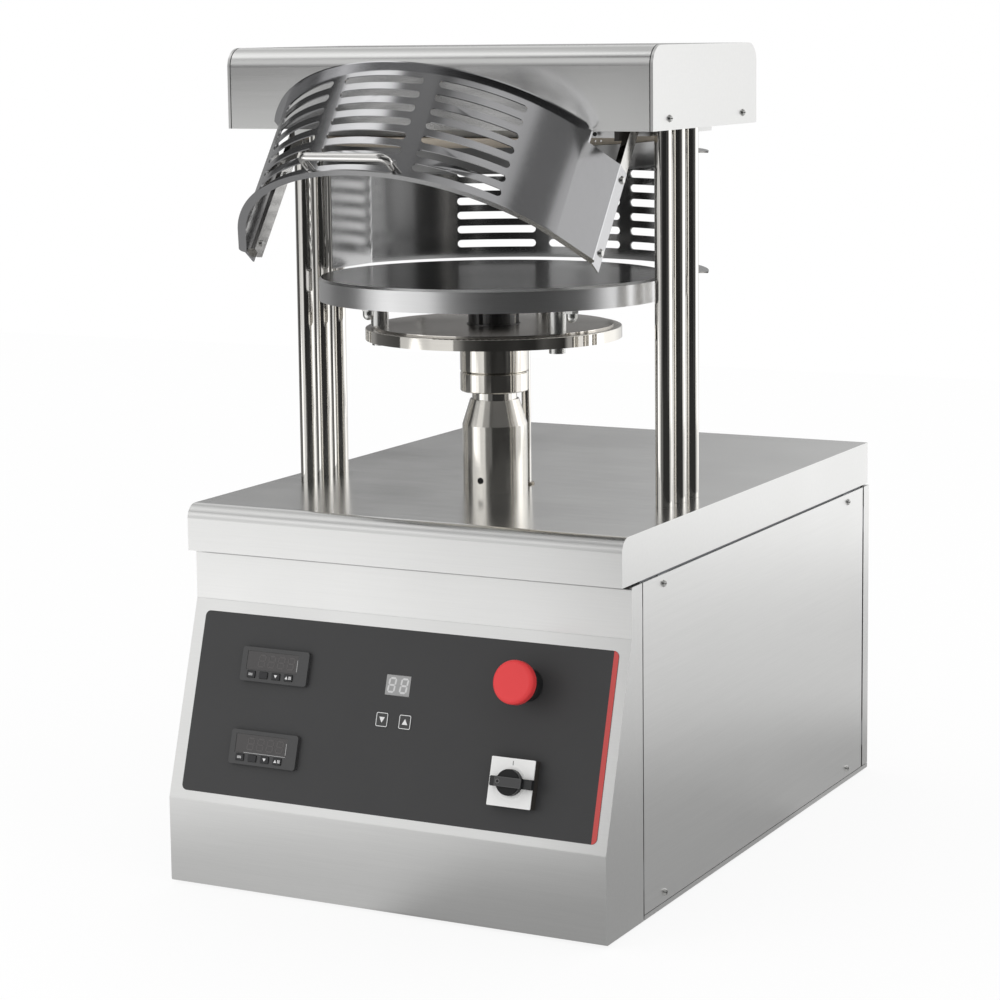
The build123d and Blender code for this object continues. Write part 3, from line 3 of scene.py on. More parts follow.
import logging
import math
from abc import ABC, abstractmethod
from dataclasses import dataclass
from enum import Enum
from functools import cache

import bmesh
import bpy
from mathutils import Matrix, Vector


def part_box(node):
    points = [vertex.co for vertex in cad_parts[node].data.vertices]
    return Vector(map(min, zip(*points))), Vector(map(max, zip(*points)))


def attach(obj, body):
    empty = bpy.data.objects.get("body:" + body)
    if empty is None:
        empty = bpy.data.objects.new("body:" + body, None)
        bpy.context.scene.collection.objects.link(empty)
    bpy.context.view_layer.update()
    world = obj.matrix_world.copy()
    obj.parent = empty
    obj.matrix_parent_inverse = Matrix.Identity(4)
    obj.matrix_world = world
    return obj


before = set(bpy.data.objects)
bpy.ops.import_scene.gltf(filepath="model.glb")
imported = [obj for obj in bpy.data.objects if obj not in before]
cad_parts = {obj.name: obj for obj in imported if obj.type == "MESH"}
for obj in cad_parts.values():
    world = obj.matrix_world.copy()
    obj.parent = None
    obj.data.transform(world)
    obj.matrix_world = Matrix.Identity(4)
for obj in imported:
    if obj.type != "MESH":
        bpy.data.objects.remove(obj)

LOG = logging.getLogger("pizza_press")
MM = 0.001
WELD = 1e-6  # metres, within which two vertices of the frame are one
X_AXIS, Y_AXIS, Z_AXIS = Vector((1, 0, 0)), Vector((0, 1, 0)), Vector((0, 0, 1))

Socket = bpy.types.NodeSocket
Triple = tuple[float, float, float]
Span = tuple[float, float]
Levels = tuple[Span, ...]
Outline = list[Span]

# The console's face, in metres, and the sine of its angle from upright
CONSOLE_ORIGIN = (0.0, -0.33668, 0.19211)
CONSOLE_LEAN = 0.2969
# Places on the console's face, in millimetres
SWITCH_CENTRE = (146.5, -45.0)
STOP_CENTRE = (146.5, 52.0)
CONTROLLERS = (("upper", 1), ("lower", -1))
SIDES = (("right", 1), ("left", -1))


class Grain(Enum):
    """Which way a ground or brushed surface was worked."""

    NONE = (1.0, 1.0, 1.0)
    ALONG_X = (0.02, 1.0, 1.0)
    ALONG_Y = (1.0, 0.02, 1.0)
    ALONG_Z = (1.0, 1.0, 0.02)
    TURNED = (0.03, 0.03, 1.0)


class ShaderGraph:
    """Adds shader nodes to one material or world and joins them."""

    def __init__(self, tree: bpy.types.NodeTree) -> None:
        """Keeps the tree, emptied."""
        self.tree = tree
        self.tree.nodes.clear()

    def add(self, kind: str, **settings: object) -> bpy.types.Node:
        """Adds one node.

        Args:
            kind: The node's type name, without its ShaderNode prefix.
            settings: Properties set on the node.

        Returns:
            The new node.
        """
        node = self.tree.nodes.new("ShaderNode" + kind)
        for name, value in settings.items():
            setattr(node, name, value)
        return node

    def join(self, source: Socket, target: Socket) -> None:
        """Links an output socket to an input socket."""
        self.tree.links.new(source, target)

    def fill(self, target: Socket, value: object) -> None:
        """Feeds an input socket.

        Args:
            target: The input socket.
            value: A socket to link, a colour or a number.
        """
        if isinstance(value, Socket):
            self.join(value, target)
        elif isinstance(value, tuple):
            target.default_value = (*value, 1.0)
        else:
            target.default_value = float(value)

    def maths(self, operation: str, first: object, second: object, clamp: bool = False) -> Socket:
        """Adds one Math node.

        Args:
            operation: The Math node's operation.
            first: A socket or a number.
            second: A socket or a number.
            clamp: Whether the result is held between 0 and 1.

        Returns:
            The node's output socket.
        """
        node = self.add("Math", operation=operation, use_clamp=clamp)
        self.fill(node.inputs[0], first)
        self.fill(node.inputs[1], second)
        return node.outputs[0]

    def swing(self, value: Socket, width: float) -> Socket:
        """Turns a value from 0 to 1 into a swing of a given width about zero."""
        return self.maths("MULTIPLY", self.maths("SUBTRACT", value, 0.5), width)

    def noise(self, place: Socket, size: Triple, detail: float) -> Socket:
        """Adds a stretched noise.

        Args:
            place: The coordinates that the noise reads.
            size: How many lumps of it there are in a metre along X, Y and Z.
            detail: The noise's octaves.

        Returns:
            The noise's value socket.
        """
        mapping = self.add("Mapping")
        mapping.inputs["Scale"].default_value = size
        noise = self.add("TexNoise")
        noise.inputs["Scale"].default_value = 1.0
        noise.inputs["Detail"].default_value = detail
        self.join(place, mapping.inputs["Vector"])
        self.join(mapping.outputs["Vector"], noise.inputs["Vector"])
        return noise.outputs["Fac"]

    def ramp(self, factor: Socket, stops: Levels) -> Socket:
        """Adds a ramp of greys.

        Args:
            factor: The value that the ramp reads, from 0 to 1.
            stops: Each stop's place and its grey, in order.

        Returns:
            The ramp's colour socket.
        """
        node = self.add("ValToRGB")
        self.join(factor, node.inputs["Fac"])
        elements = node.color_ramp.elements
        for element, (position, level) in zip((elements[0], elements[1]), (stops[0], stops[-1])):
            element.position, element.color = position, (level, level, level, 1.0)
        for position, level in stops[1:-1]:
            elements.new(position).color = (level, level, level, 1.0)
        return node.outputs["Color"]

    def tint(self, factor: Socket, low: object, high: object) -> Socket:
        """Mixes two colours.

        Args:
            factor: The mix, from low at 0 to high at 1.
            low: The first colour, as three numbers or a socket.
            high: The second colour, likewise.

        Returns:
            The mixed colour's socket.
        """
        mix = self.add("Mix", data_type="RGBA")
        self.join(factor, mix.inputs["Factor"])
        sides = [socket for socket in mix.inputs if socket.type == "RGBA"]
        for socket, colour in zip(sides, (low, high)):
            self.fill(socket, colour)
        return [socket for socket in mix.outputs if socket.type == "RGBA"][0]

    def bearing(self, place: Socket) -> tuple[Socket, Socket]:
        """Finds which way round the object a place or a direction lies.

        Args:
            place: The place or the direction.

        Returns:
            Its bearing as a share of a turn, half a turn being the front, and its height.
        """
        parts = self.add("SeparateXYZ")
        self.join(place, parts.inputs[0])
        ahead = self.maths("MULTIPLY", parts.outputs["Y"], -1.0)
        turn = self.maths("ARCTAN2", parts.outputs["X"], ahead)
        share = self.maths("ADD", self.maths("MULTIPLY", turn, 0.5 / math.pi), 0.5)
        return share, parts.outputs["Z"]

    def stack(self, share: Socket, height: Socket, bands: tuple[Levels, ...], seams: tuple[float, ...],
              softness: float) -> Socket:
        """Lays bands of greys that run round the object on each other.

        Args:
            share: The bearing as a share of a turn.
            height: What the seams are measured on, from 0 to 1.
            bands: The bands, lowest first; each stop has its bearing in degrees, 0 at the front and 90 at the
                right, and its grey.
            seams: Where each band gives way to the next.
            softness: Half the width of each seam.

        Returns:
            The joined colour's socket.
        """
        turned = [tuple((0.5 + angle / 360.0, level) for angle, level in band) for band in bands]
        rings = [self.ramp(share, stops) for stops in turned]
        colour = rings[0]
        for seam, following in zip(seams, rings[1:]):
            stops = ((0.0, 0.0), (seam - softness, 0.0), (seam + softness, 1.0), (1.0, 1.0))
            colour = self.tint(self.ramp(height, stops), colour, following)
        return colour

    def shader(self, kind: str, colour: object, **values: float) -> Socket:
        """Adds a plain shader.

        Args:
            kind: The node's type name, without its ShaderNode prefix.
            colour: Three numbers or a socket.
            values: Numbers for its other inputs, by name.

        Returns:
            The shader's output socket.
        """
        node = self.add(kind)
        self.fill(node.inputs["Color"], colour)
        for name, value in values.items():
            self.fill(node.inputs[name], value)
        return node.outputs[0]

    def blend(self, factor: object, first: Socket, second: Socket) -> Socket:
        """Mixes two shaders.

        Args:
            factor: The second shader's share, as a number or a socket.
            first: The first shader.
            second: The second shader.

        Returns:
            The mixed shader's socket.
        """
        mix = self.add("MixShader")
        for target, value in zip(mix.inputs, (factor, first, second)):
            self.fill(target, value)
        return mix.outputs[0]

    def sort_rays(self, camera: Socket, mirrored: Socket, other: Socket, output: str) -> None:
        """Shows each kind of ray its own shader.

        Args:
            camera: What the camera sees.
            mirrored: What metal and clear surfaces show.
            other: What lights the object.
            output: The output node's type name.
        """
        path = self.add("LightPath").outputs
        in_surface = self.maths("MAXIMUM", path["Is Glossy Ray"], path["Is Transmission Ray"])
        unseen = self.blend(in_surface, other, mirrored)
        shown = self.blend(path["Is Camera Ray"], unseen, camera)
        self.join(shown, self.add(output).inputs["Surface"])


def grey(level: float) -> Triple:
    """Returns a colour of one level throughout."""
    return (level, level, level)


def shade(colour: Triple, share: float) -> Triple:
    """Returns a colour made lighter or darker by a share."""
    return tuple(min(1.0, max(0.0, channel * share)) for channel in colour)


@dataclass(frozen=True)
class Finish(ABC):
    """What every finish has, and how its material starts and ends."""

    name: str
    colour: Triple
    roughness: float

    @abstractmethod
    def build(self) -> bpy.types.Material:
        """Makes the material."""

    def start(self) -> tuple[bpy.types.Material, ShaderGraph, bpy.types.Node, Socket]:
        """Makes an empty material.

        Returns:
            The material, its graph, its surface shader and the places that its noises read.
        """
        material = bpy.data.materials.new(self.name)
        material.use_nodes = True
        graph = ShaderGraph(material.node_tree)
        return material, graph, graph.add("BsdfPrincipled"), graph.add("TexCoord").outputs["Object"]

    def varied(self, graph: ShaderGraph, factor: Socket, colour: Triple, width: float) -> Socket:
        """Lets a colour vary, by a share of itself each way."""
        return graph.tint(factor, shade(colour, 1.0 - width), shade(colour, 1.0 + width))

    def end(self, graph: ShaderGraph, surface: bpy.types.Node, height: Socket, strength: float,
            distance: float) -> None:
        """Adds the fine relief and the output.

        Args:
            graph: The material's graph.
            surface: The surface shader.
            height: The relief's height, from 0 to 1.
            strength: The relief's strength.
            distance: The relief's depth, in metres.
        """
        bump = graph.add("Bump")
        bump.inputs["Strength"].default_value = strength
        bump.inputs["Distance"].default_value = distance
        graph.join(height, bump.inputs["Height"])
        graph.join(bump.outputs["Normal"], surface.inputs["Normal"])
        graph.join(surface.outputs["BSDF"], graph.add("OutputMaterial").inputs["Surface"])


@dataclass(frozen=True)
class MetalFinish(Finish):
    """A bare or plated metal with grain, smears and fine wear; its upward faces may have their own tone,
    which on the lower platen is painted shade.
    """

    grain: Grain = Grain.NONE
    grain_count: float = 900.0
    grain_depth: float = 0.06
    roughness_spread: float = 0.10
    smear: float = 0.08
    tone_spread: float = 0.06
    top_colour: Triple | None = None
    top_roughness: float = 0.0
    top_mask: Levels = ((0.0, 0.0), (0.72, 0.0), (0.98, 1.0), (1.0, 1.0))
    coarse_size: float = 0.22
    coarse_share: float = 0.4
    smear_count: float = 9.0
    relief: float = 0.0002

    def hair(self, graph: ShaderGraph, place: Socket) -> Socket:
        """Makes the grain, fine lines over coarser ones.

        Args:
            graph: The material's graph.
            place: The places that the grain reads.

        Returns:
            The grain's socket, from 0 to 1.
        """
        size = tuple(self.grain_count * share for share in self.grain.value)
        fine = graph.noise(place, size, detail=4.0)
        coarse = graph.noise(place, tuple(side * self.coarse_size for side in size), detail=2.0)
        fine_part = graph.maths("MULTIPLY", fine, 1.0 - self.coarse_share)
        return graph.maths("ADD", fine_part, graph.maths("MULTIPLY", coarse, self.coarse_share))

    def build(self) -> bpy.types.Material:
        """Makes the material.

        Returns:
            The finished material.
        """
        material, graph, surface, place = self.start()
        hair = self.hair(graph, place)
        smears = graph.noise(place, grey(self.smear_count), detail=3.0)
        rough = graph.maths("ADD", graph.swing(hair, self.roughness_spread), self.roughness)
        rough = graph.maths("ADD", rough, graph.swing(smears, self.smear), clamp=True)
        colour = self.varied(graph, hair, self.colour, self.tone_spread)
        if self.top_colour is not None:
            facing = graph.add("SeparateXYZ")
            graph.join(graph.add("TexCoord").outputs["Normal"], facing.inputs[0])
            upward = graph.ramp(facing.outputs["Z"], self.top_mask)
            colour = graph.tint(upward, colour, self.varied(graph, hair, self.top_colour, self.tone_spread))
            extra = graph.maths("MULTIPLY", upward, self.top_roughness - self.roughness)
            rough = graph.maths("ADD", rough, extra, clamp=True)
        surface.inputs["Metallic"].default_value = 1.0
        graph.join(colour, surface.inputs["Base Color"])
        graph.join(rough, surface.inputs["Roughness"])
        self.end(graph, surface, hair, self.grain_depth, self.relief)
        return material


@dataclass(frozen=True)
class MouldedFinish(Finish):
    """A plastic, rubber, film or paint with a fine moulded texture."""

    specular: float = 0.5
    texture_count: float = 1400.0
    texture_depth: float = 0.10
    tone_spread: float = 0.08
    smear: float = 0.06
    smear_count: float = 14.0
    relief: float = 0.0001

    def build(self) -> bpy.types.Material:
        """Makes the material.

        Returns:
            The finished material.
        """
        material, graph, surface, place = self.start()
        fine = graph.noise(place, grey(self.texture_count), detail=2.0)
        smears = graph.noise(place, grey(self.smear_count), detail=3.0)
        rough = graph.maths("ADD", graph.swing(smears, self.smear), self.roughness)
        colour = self.varied(graph, smears, self.colour, self.tone_spread)
        surface.inputs["Specular IOR Level"].default_value = self.specular
        graph.join(colour, surface.inputs["Base Color"])
        graph.join(rough, surface.inputs["Roughness"])
        self.end(graph, surface, fine, self.texture_depth, self.relief)
        return material


POLISH: dict[str, float] = {"grain_depth": 0.02, "roughness_spread": 0.04, "smear": 0.03}
WARM_STEEL = (0.90, 0.87, 0.81)

PANEL_STEEL = MetalFinish("panel_steel", (0.78, 0.78, 0.77), 0.33, Grain.ALONG_X)
WORKTOP_STEEL = MetalFinish(
    "worktop_steel", (0.78, 0.78, 0.77), 0.33, Grain.ALONG_X, top_colour=(0.76, 0.76, 0.75), top_roughness=0.2
)
SIDE_STEEL = MetalFinish("side_steel", (0.80, 0.80, 0.79), 0.33, Grain.ALONG_Y)
HEAD_STEEL = MetalFinish("head_steel", (0.80, 0.80, 0.79), 0.24, Grain.ALONG_X)
GUARD_STEEL = MetalFinish("guard_steel", (0.62, 0.62, 0.63), 0.16, Grain.ALONG_X, grain_depth=0.04)
REAR_GUARD_STEEL = MetalFinish("rear_guard_steel", grey(0.50), 0.14, Grain.ALONG_X, grain_depth=0.04)
GROUND_STEEL = MetalFinish(
    "ground_steel", (0.80, 0.79, 0.77), 0.14, Grain.TURNED, grain_depth=0.04, roughness_spread=0.08
)
TURNED_STEEL = MetalFinish("turned_steel", WARM_STEEL, 0.06, Grain.TURNED, **POLISH)
DISC_STEEL = MetalFinish(
    "disc_steel", WARM_STEEL, 0.06, Grain.TURNED, top_colour=(0.50, 0.47, 0.44), top_roughness=0.26, **POLISH
)
SLEEVE_STEEL = MetalFinish("sleeve_steel", (0.92, 0.89, 0.83), 0.14, Grain.TURNED, **POLISH)
HARD_CHROME = MetalFinish("hard_chrome", (0.86, 0.84, 0.80), 0.07, Grain.ALONG_Z, 700.0, **POLISH)
PLATEN_CAST = MetalFinish("platen_cast", grey(0.34), 0.34, Grain.TURNED, 1200.0, 0.05)
# The lower platen's darker upward face is painted shade, standing for the dark guard mirrored in it
PLATEN_CHROME = MetalFinish(
    "platen_chrome", grey(0.93), 0.30, Grain.TURNED, 1200.0, 0.04, 0.06, 0.04, top_colour=grey(0.42),
    top_roughness=0.16,
)
BLACK_OXIDE = MetalFinish("black_oxide", grey(0.10), 0.30, Grain.TURNED, 700.0, 0.04)
ZINC_PLATE = MetalFinish("zinc_plate", (0.78, 0.78, 0.76), 0.24)
BRONZE_BUSH = MetalFinish("bronze_bush", (0.40, 0.36, 0.30), 0.4)
CAST_ALLOY = MetalFinish("cast_alloy", (0.62, 0.63, 0.64), 0.5, Grain.NONE, 700.0, 0.3)
FINNED_ALLOY = MetalFinish("finned_alloy", (0.45, 0.46, 0.48), 0.5, Grain.NONE, 700.0, 0.3)
CAM_STEEL = MetalFinish("cam_steel", grey(0.5), 0.3, Grain.ALONG_X)
FRAME_PRIMER = MouldedFinish("frame_primer", (0.30, 0.31, 0.33), 0.5)
INSULATION_BOARD = MouldedFinish("insulation_board", (0.62, 0.55, 0.46), 0.85, 0.3, 500.0, 0.4)
OVERLAY_FILM = MouldedFinish("overlay_film", (0.052, 0.052, 0.053), 0.5, 0.35, 2200.0, 0.06)
CONTROLLER_SHELL = MouldedFinish("controller_shell", (0.060, 0.060, 0.061), 0.45)
BLACK_SHELL = MouldedFinish("black_shell", (0.020, 0.021, 0.022), 0.42)
SMOKED_WINDOW = MouldedFinish("smoked_window", (0.050, 0.047, 0.047), 0.12, 0.5, 300.0, 0.0)
SOFT_KEY = MouldedFinish("soft_key", (0.030, 0.030, 0.032), 0.6)
ARROW_KEY = MouldedFinish("arrow_key", grey(0.055), 0.5)
RED_MOULD = MouldedFinish("red_mould", (0.84, 0.055, 0.06), 0.38, 0.35)
WHITE_MOULD = MouldedFinish("white_mould", (0.93, 0.93, 0.92), 0.4, tone_spread=0.03)
FOOT_RUBBER = MouldedFinish("foot_rubber", grey(0.03), 0.8)
GEAR_PLASTIC = MouldedFinish("gear_plastic", (0.75, 0.75, 0.73), 0.5)
SWITCH_DARK = MouldedFinish("switch_dark", (0.05, 0.045, 0.04), 0.5)

RED_PRINT = MouldedFinish("red_print", (0.62, 0.075, 0.07), 0.5)
WHITE_PRINT = MouldedFinish("white_print", grey(0.85), 0.5)
# Grey print, also used as the painted highlight round the knob's arrow recess
GREY_PRINT_AND_HIGHLIGHT = MouldedFinish("grey_print_and_highlight", grey(0.30), 0.5)
DIM_SEGMENT = MouldedFinish("dim_segment", (0.085, 0.079, 0.079), 0.35)
TIMER_FIELD = MouldedFinish("timer_field", grey(0.36), 0.4)
TIMER_SEGMENT = MouldedFinish("timer_segment", grey(0.66), 0.35)
RECESS_SHADE = MouldedFinish("recess_shade", grey(0.02), 0.6)
# Light grey strips of painted highlight on the windows' bevels
PAINTED_BEVEL_HIGHLIGHT = MouldedFinish("painted_bevel_highlight", grey(0.58), 0.3)
# Painted highlight along the edge of the knob's grip
GRIP_HIGHLIGHT = MouldedFinish("grip_painted_highlight", grey(0.12), 0.35)
# A darker copy of the knob's black: painted shade on its disc
KNOB_DISC_SHADE = MouldedFinish("knob_disc", (0.014, 0.014, 0.015), 0.5, 0.3)

# The nodes of each finish; a node that isn't here is a key of a controller
DRESSED: tuple[tuple[Finish, str], ...] = (
    (PANEL_STEEL, "bottom_tray front_panel rear_panel head_beam head_end_plates"),
    (SIDE_STEEL, "right_side_panel left_side_panel"),
    (WORKTOP_STEEL, "worktop_cover"),
    (HEAD_STEEL, "head_cover"),
    (GUARD_STEEL, "front_guard rear_guard_brackets"),
    (REAR_GUARD_STEEL, "rear_guard"),
    (GROUND_STEEL, "guard_pivots guard_arms guard_handle"),
    (TURNED_STEEL, "lift_collars"),
    (DISC_STEEL, "carrier_disc"),
    (SLEEVE_STEEL, "guide_sleeve"),
    (HARD_CHROME, "columns lift_shaft guide_rod"),
    (PLATEN_CAST, "upper_platen"),
    (PLATEN_CHROME, "lower_platen"),
    (ZINC_PLATE, "panel_screws column_nuts platen_bolts platen_spacers acorn_nuts"),
    (ZINC_PLATE, "carrier_fasteners guard_fasteners"),
    (BRONZE_BUSH, "guide_bushes"),
    (CAST_ALLOY, "gearbox"),
    (FINNED_ALLOY, "motor"),
    (CAM_STEEL, "cam follower_roller"),
    (FRAME_PRIMER, "press_frame drive_bracket"),
    (INSULATION_BOARD, "insulation_disc"),
    (OVERLAY_FILM, "console_overlay"),
    (CONTROLLER_SHELL, "controllers"),
    (BLACK_SHELL, "estop_body estop_stem switch_knob"),
    (SMOKED_WINDOW, "display_windows"),
    (ARROW_KEY, "down_key up_key"),
    (RED_MOULD, "estop_button"),
    (WHITE_MOULD, "switch_plate"),
    (FOOT_RUBBER, "rubber_feet"),
    (GEAR_PLASTIC, "control_gear"),
    (SWITCH_DARK, "guard_switches switch_base"),
)
NODE_FINISHES = {node: finish for finish, nodes in DRESSED for node in nodes.split()}


@cache
def material_of(finish: Finish) -> bpy.types.Material:
    """Returns a finish's material, made once."""
    return finish.build()


def dress(node: str) -> None:
    """Puts a finish on one node of the frame.

    Args:
        node: The node's name.
    """
    finish = NODE_FINISHES.get(node, SOFT_KEY)
    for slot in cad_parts[node].material_slots:
        slot.material = material_of(finish)
    LOG.info("%s dressed in %s", node, finish.name)


@dataclass(frozen=True)
class FacePlane:
    """A flat face that prints and small pieces lie on."""

    origin: Vector
    across: Vector
    up: Vector

    @property
    def normal(self) -> Vector:
        """Returns the way that the face looks."""
        return self.across.cross(self.up)

    def at(self, x: float, y: float, lift: float) -> Vector:
        """Returns the point at x across, y up and lift out, all in millimetres."""
        return self.origin + (self.across * x + self.up * y + self.normal * lift) * MM


def lifted(face: float, span: Span) -> Span:
    """Returns a span of heights, taken from a face that itself stands out."""
    return face + span[0], face + span[1]


def onward(ring: list) -> list:
    """Returns a ring's members, each in its follower's place."""
    return ring[1:] + ring[:1]


def round_outline(x: float, y: float, radius: float, count: int = 24) -> Outline:
    """Returns a circle's outline round a centre."""
    angles = [2 * math.pi * step / count for step in range(count)]
    return [(x + radius * math.cos(angle), y + radius * math.sin(angle)) for angle in angles]


def box_outline(x: float, y: float, width: float, height: float, corner: float = 0.0,
                steps: int = 4) -> Outline:
    """Returns a rectangle's outline with rounded corners.

    Args:
        x: Its centre across.
        y: Its centre up.
        width: Its width.
        height: Its height.
        corner: The radius of its corners.
        steps: The number of edges in each corner.

    Returns:
        The outline, anticlockwise.
    """
    if corner <= 0.0:
        corners = ((-1, -1), (1, -1), (1, 1), (-1, 1))
        return [(x + side * width / 2, y + rise * height / 2) for side, rise in corners]
    points = []
    for turn, (side, rise) in enumerate(((1, 1), (-1, 1), (-1, -1), (1, -1))):
        centre_x, centre_y = x + side * (width / 2 - corner), y + rise * (height / 2 - corner)
        for step in range(steps + 1):
            angle = math.radians(90 * (turn + step / steps))
            points.append((centre_x + corner * math.cos(angle), centre_y + corner * math.sin(angle)))
    return points


def digit_outlines(x: float, y: float, width: float, height: float, stroke: float, lean: float = 0.12,
                   gap_share: float = 0.12) -> list[Outline]:
    """Returns the seven bars of one lit figure eight.

    Args:
        x: Its centre across.
        y: Its centre up.
        width: The figure's width.
        height: The figure's height.
        stroke: The bars' width.
        lean: How far the figure leans for each millimetre up.
        gap_share: The gap at each end of a bar, as a share of its width.

    Returns:
        Seven outlines.
    """
    tip, gap, top = stroke / 2, stroke * gap_share, (height - stroke) / 2
    end = width / 2 - tip - gap
    bars = []
    for mid in (-top, 0.0, top):
        left, right, below, above = tip - end, end - tip, mid - tip, mid + tip
        bars.append([(-end, mid), (left, below), (right, below), (end, mid), (right, above), (left, above)])
    for mid in ((stroke - width) / 2, (width - stroke) / 2):
        left, right = mid - tip, mid + tip
        for rise in (-1, 1):
            near, far = rise * gap, rise * (top - gap)
            start, stop = near + rise * tip, far - rise * tip
            bars.append([(mid, near), (right, start), (right, stop), (mid, far), (left, stop), (left, start)])
    return [[(x + px + lean * py, y + py) for px, py in bar] for bar in bars]


@dataclass(frozen=True)
class Stock:
    """What a small piece is made of, the name of a material slot, which nothing here reads, and the body that
    it rides on.
    """

    finish: Finish
    slot: str
    body: str = "base"


def finish_piece(name: str, mesh: bmesh.types.BMesh, stock: Stock) -> None:
    """Turns a mesh into a finished piece.

    Args:
        name: The piece's name.
        mesh: The mesh, in metres, freed here.
        stock: What it is made of and where it belongs.
    """
    bmesh.ops.recalc_face_normals(mesh, faces=mesh.faces)
    data = bpy.data.meshes.new(name)
    mesh.to_mesh(data)
    mesh.free()
    piece = bpy.data.objects.new(name, data)
    bpy.context.scene.collection.objects.link(piece)
    data.materials.append(material_of(stock.finish))
    slot, body = stock.slot, stock.body
    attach(piece, body)
    LOG.info("%s made, on %s", name, body)


def relief(name: str, plane: FacePlane, outlines: list[Outline], span: Span, stock: Stock,
           opening: Outline | None = None) -> None:
    """Raises flat outlines into one thin piece.

    Args:
        name: The piece's name.
        plane: The face that it lies on.
        outlines: The outlines, in millimetres on that face.
        span: Its underside and its top over the face, in millimetres.
        stock: What it is made of and where it belongs.
        opening: The opening inside each outline, with as many points, if it is a frame.
    """
    low, high = span
    mesh = bmesh.new()
    for outline in outlines:
        walls = [(outline, low), (outline, high)]
        if opening is not None:
            walls += [(opening, high), (opening, low)]
        rings = [[mesh.verts.new(plane.at(x, y, lift)) for x, y in points] for points, lift in walls]
        if opening is None:
            mesh.faces.new(rings[1])
            mesh.faces.new(rings[0][::-1])
        for ring, following in zip(rings, rings[1:] if opening is None else onward(rings)):
            for corners in zip(ring, onward(ring), onward(following), following):
                mesh.faces.new(corners)
    finish_piece(name, mesh, stock)


@dataclass(frozen=True)
class KeyMark:
    """The mark on one controller key: a triangle, a grid of small boxes, or both."""

    triangle: tuple[Span, ...] = ()
    columns: tuple[float, ...] = ()
    rows: tuple[float, ...] = ()
    box: Span = (0.0, 0.0)

    def outlines(self, x: float, y: float) -> list[Outline]:
        """Returns the mark's outlines round a key's centre."""
        triangles = [[(x + dx, y + dy) for dx, dy in self.triangle]] if self.triangle else []
        return triangles + [box_outline(x + dx, y + dy, *self.box) for dx in self.columns for dy in self.rows]


KEY_MARKS = {
    1: KeyMark(columns=(-2.2, -0.95, 0.3, 1.55), rows=(-0.9, 0.0, 0.9), box=(1.0, 0.45)),
    3: KeyMark(triangle=((0.0, -1.6), (1.9, 1.5), (-1.9, 1.5))),
    4: KeyMark(((-3.6, -1.5), (-0.2, -1.5), (-1.9, 1.6)), (1.2, 2.3, 3.4), (-1.1, 0.0, 1.1), (0.8, 0.8)),
}


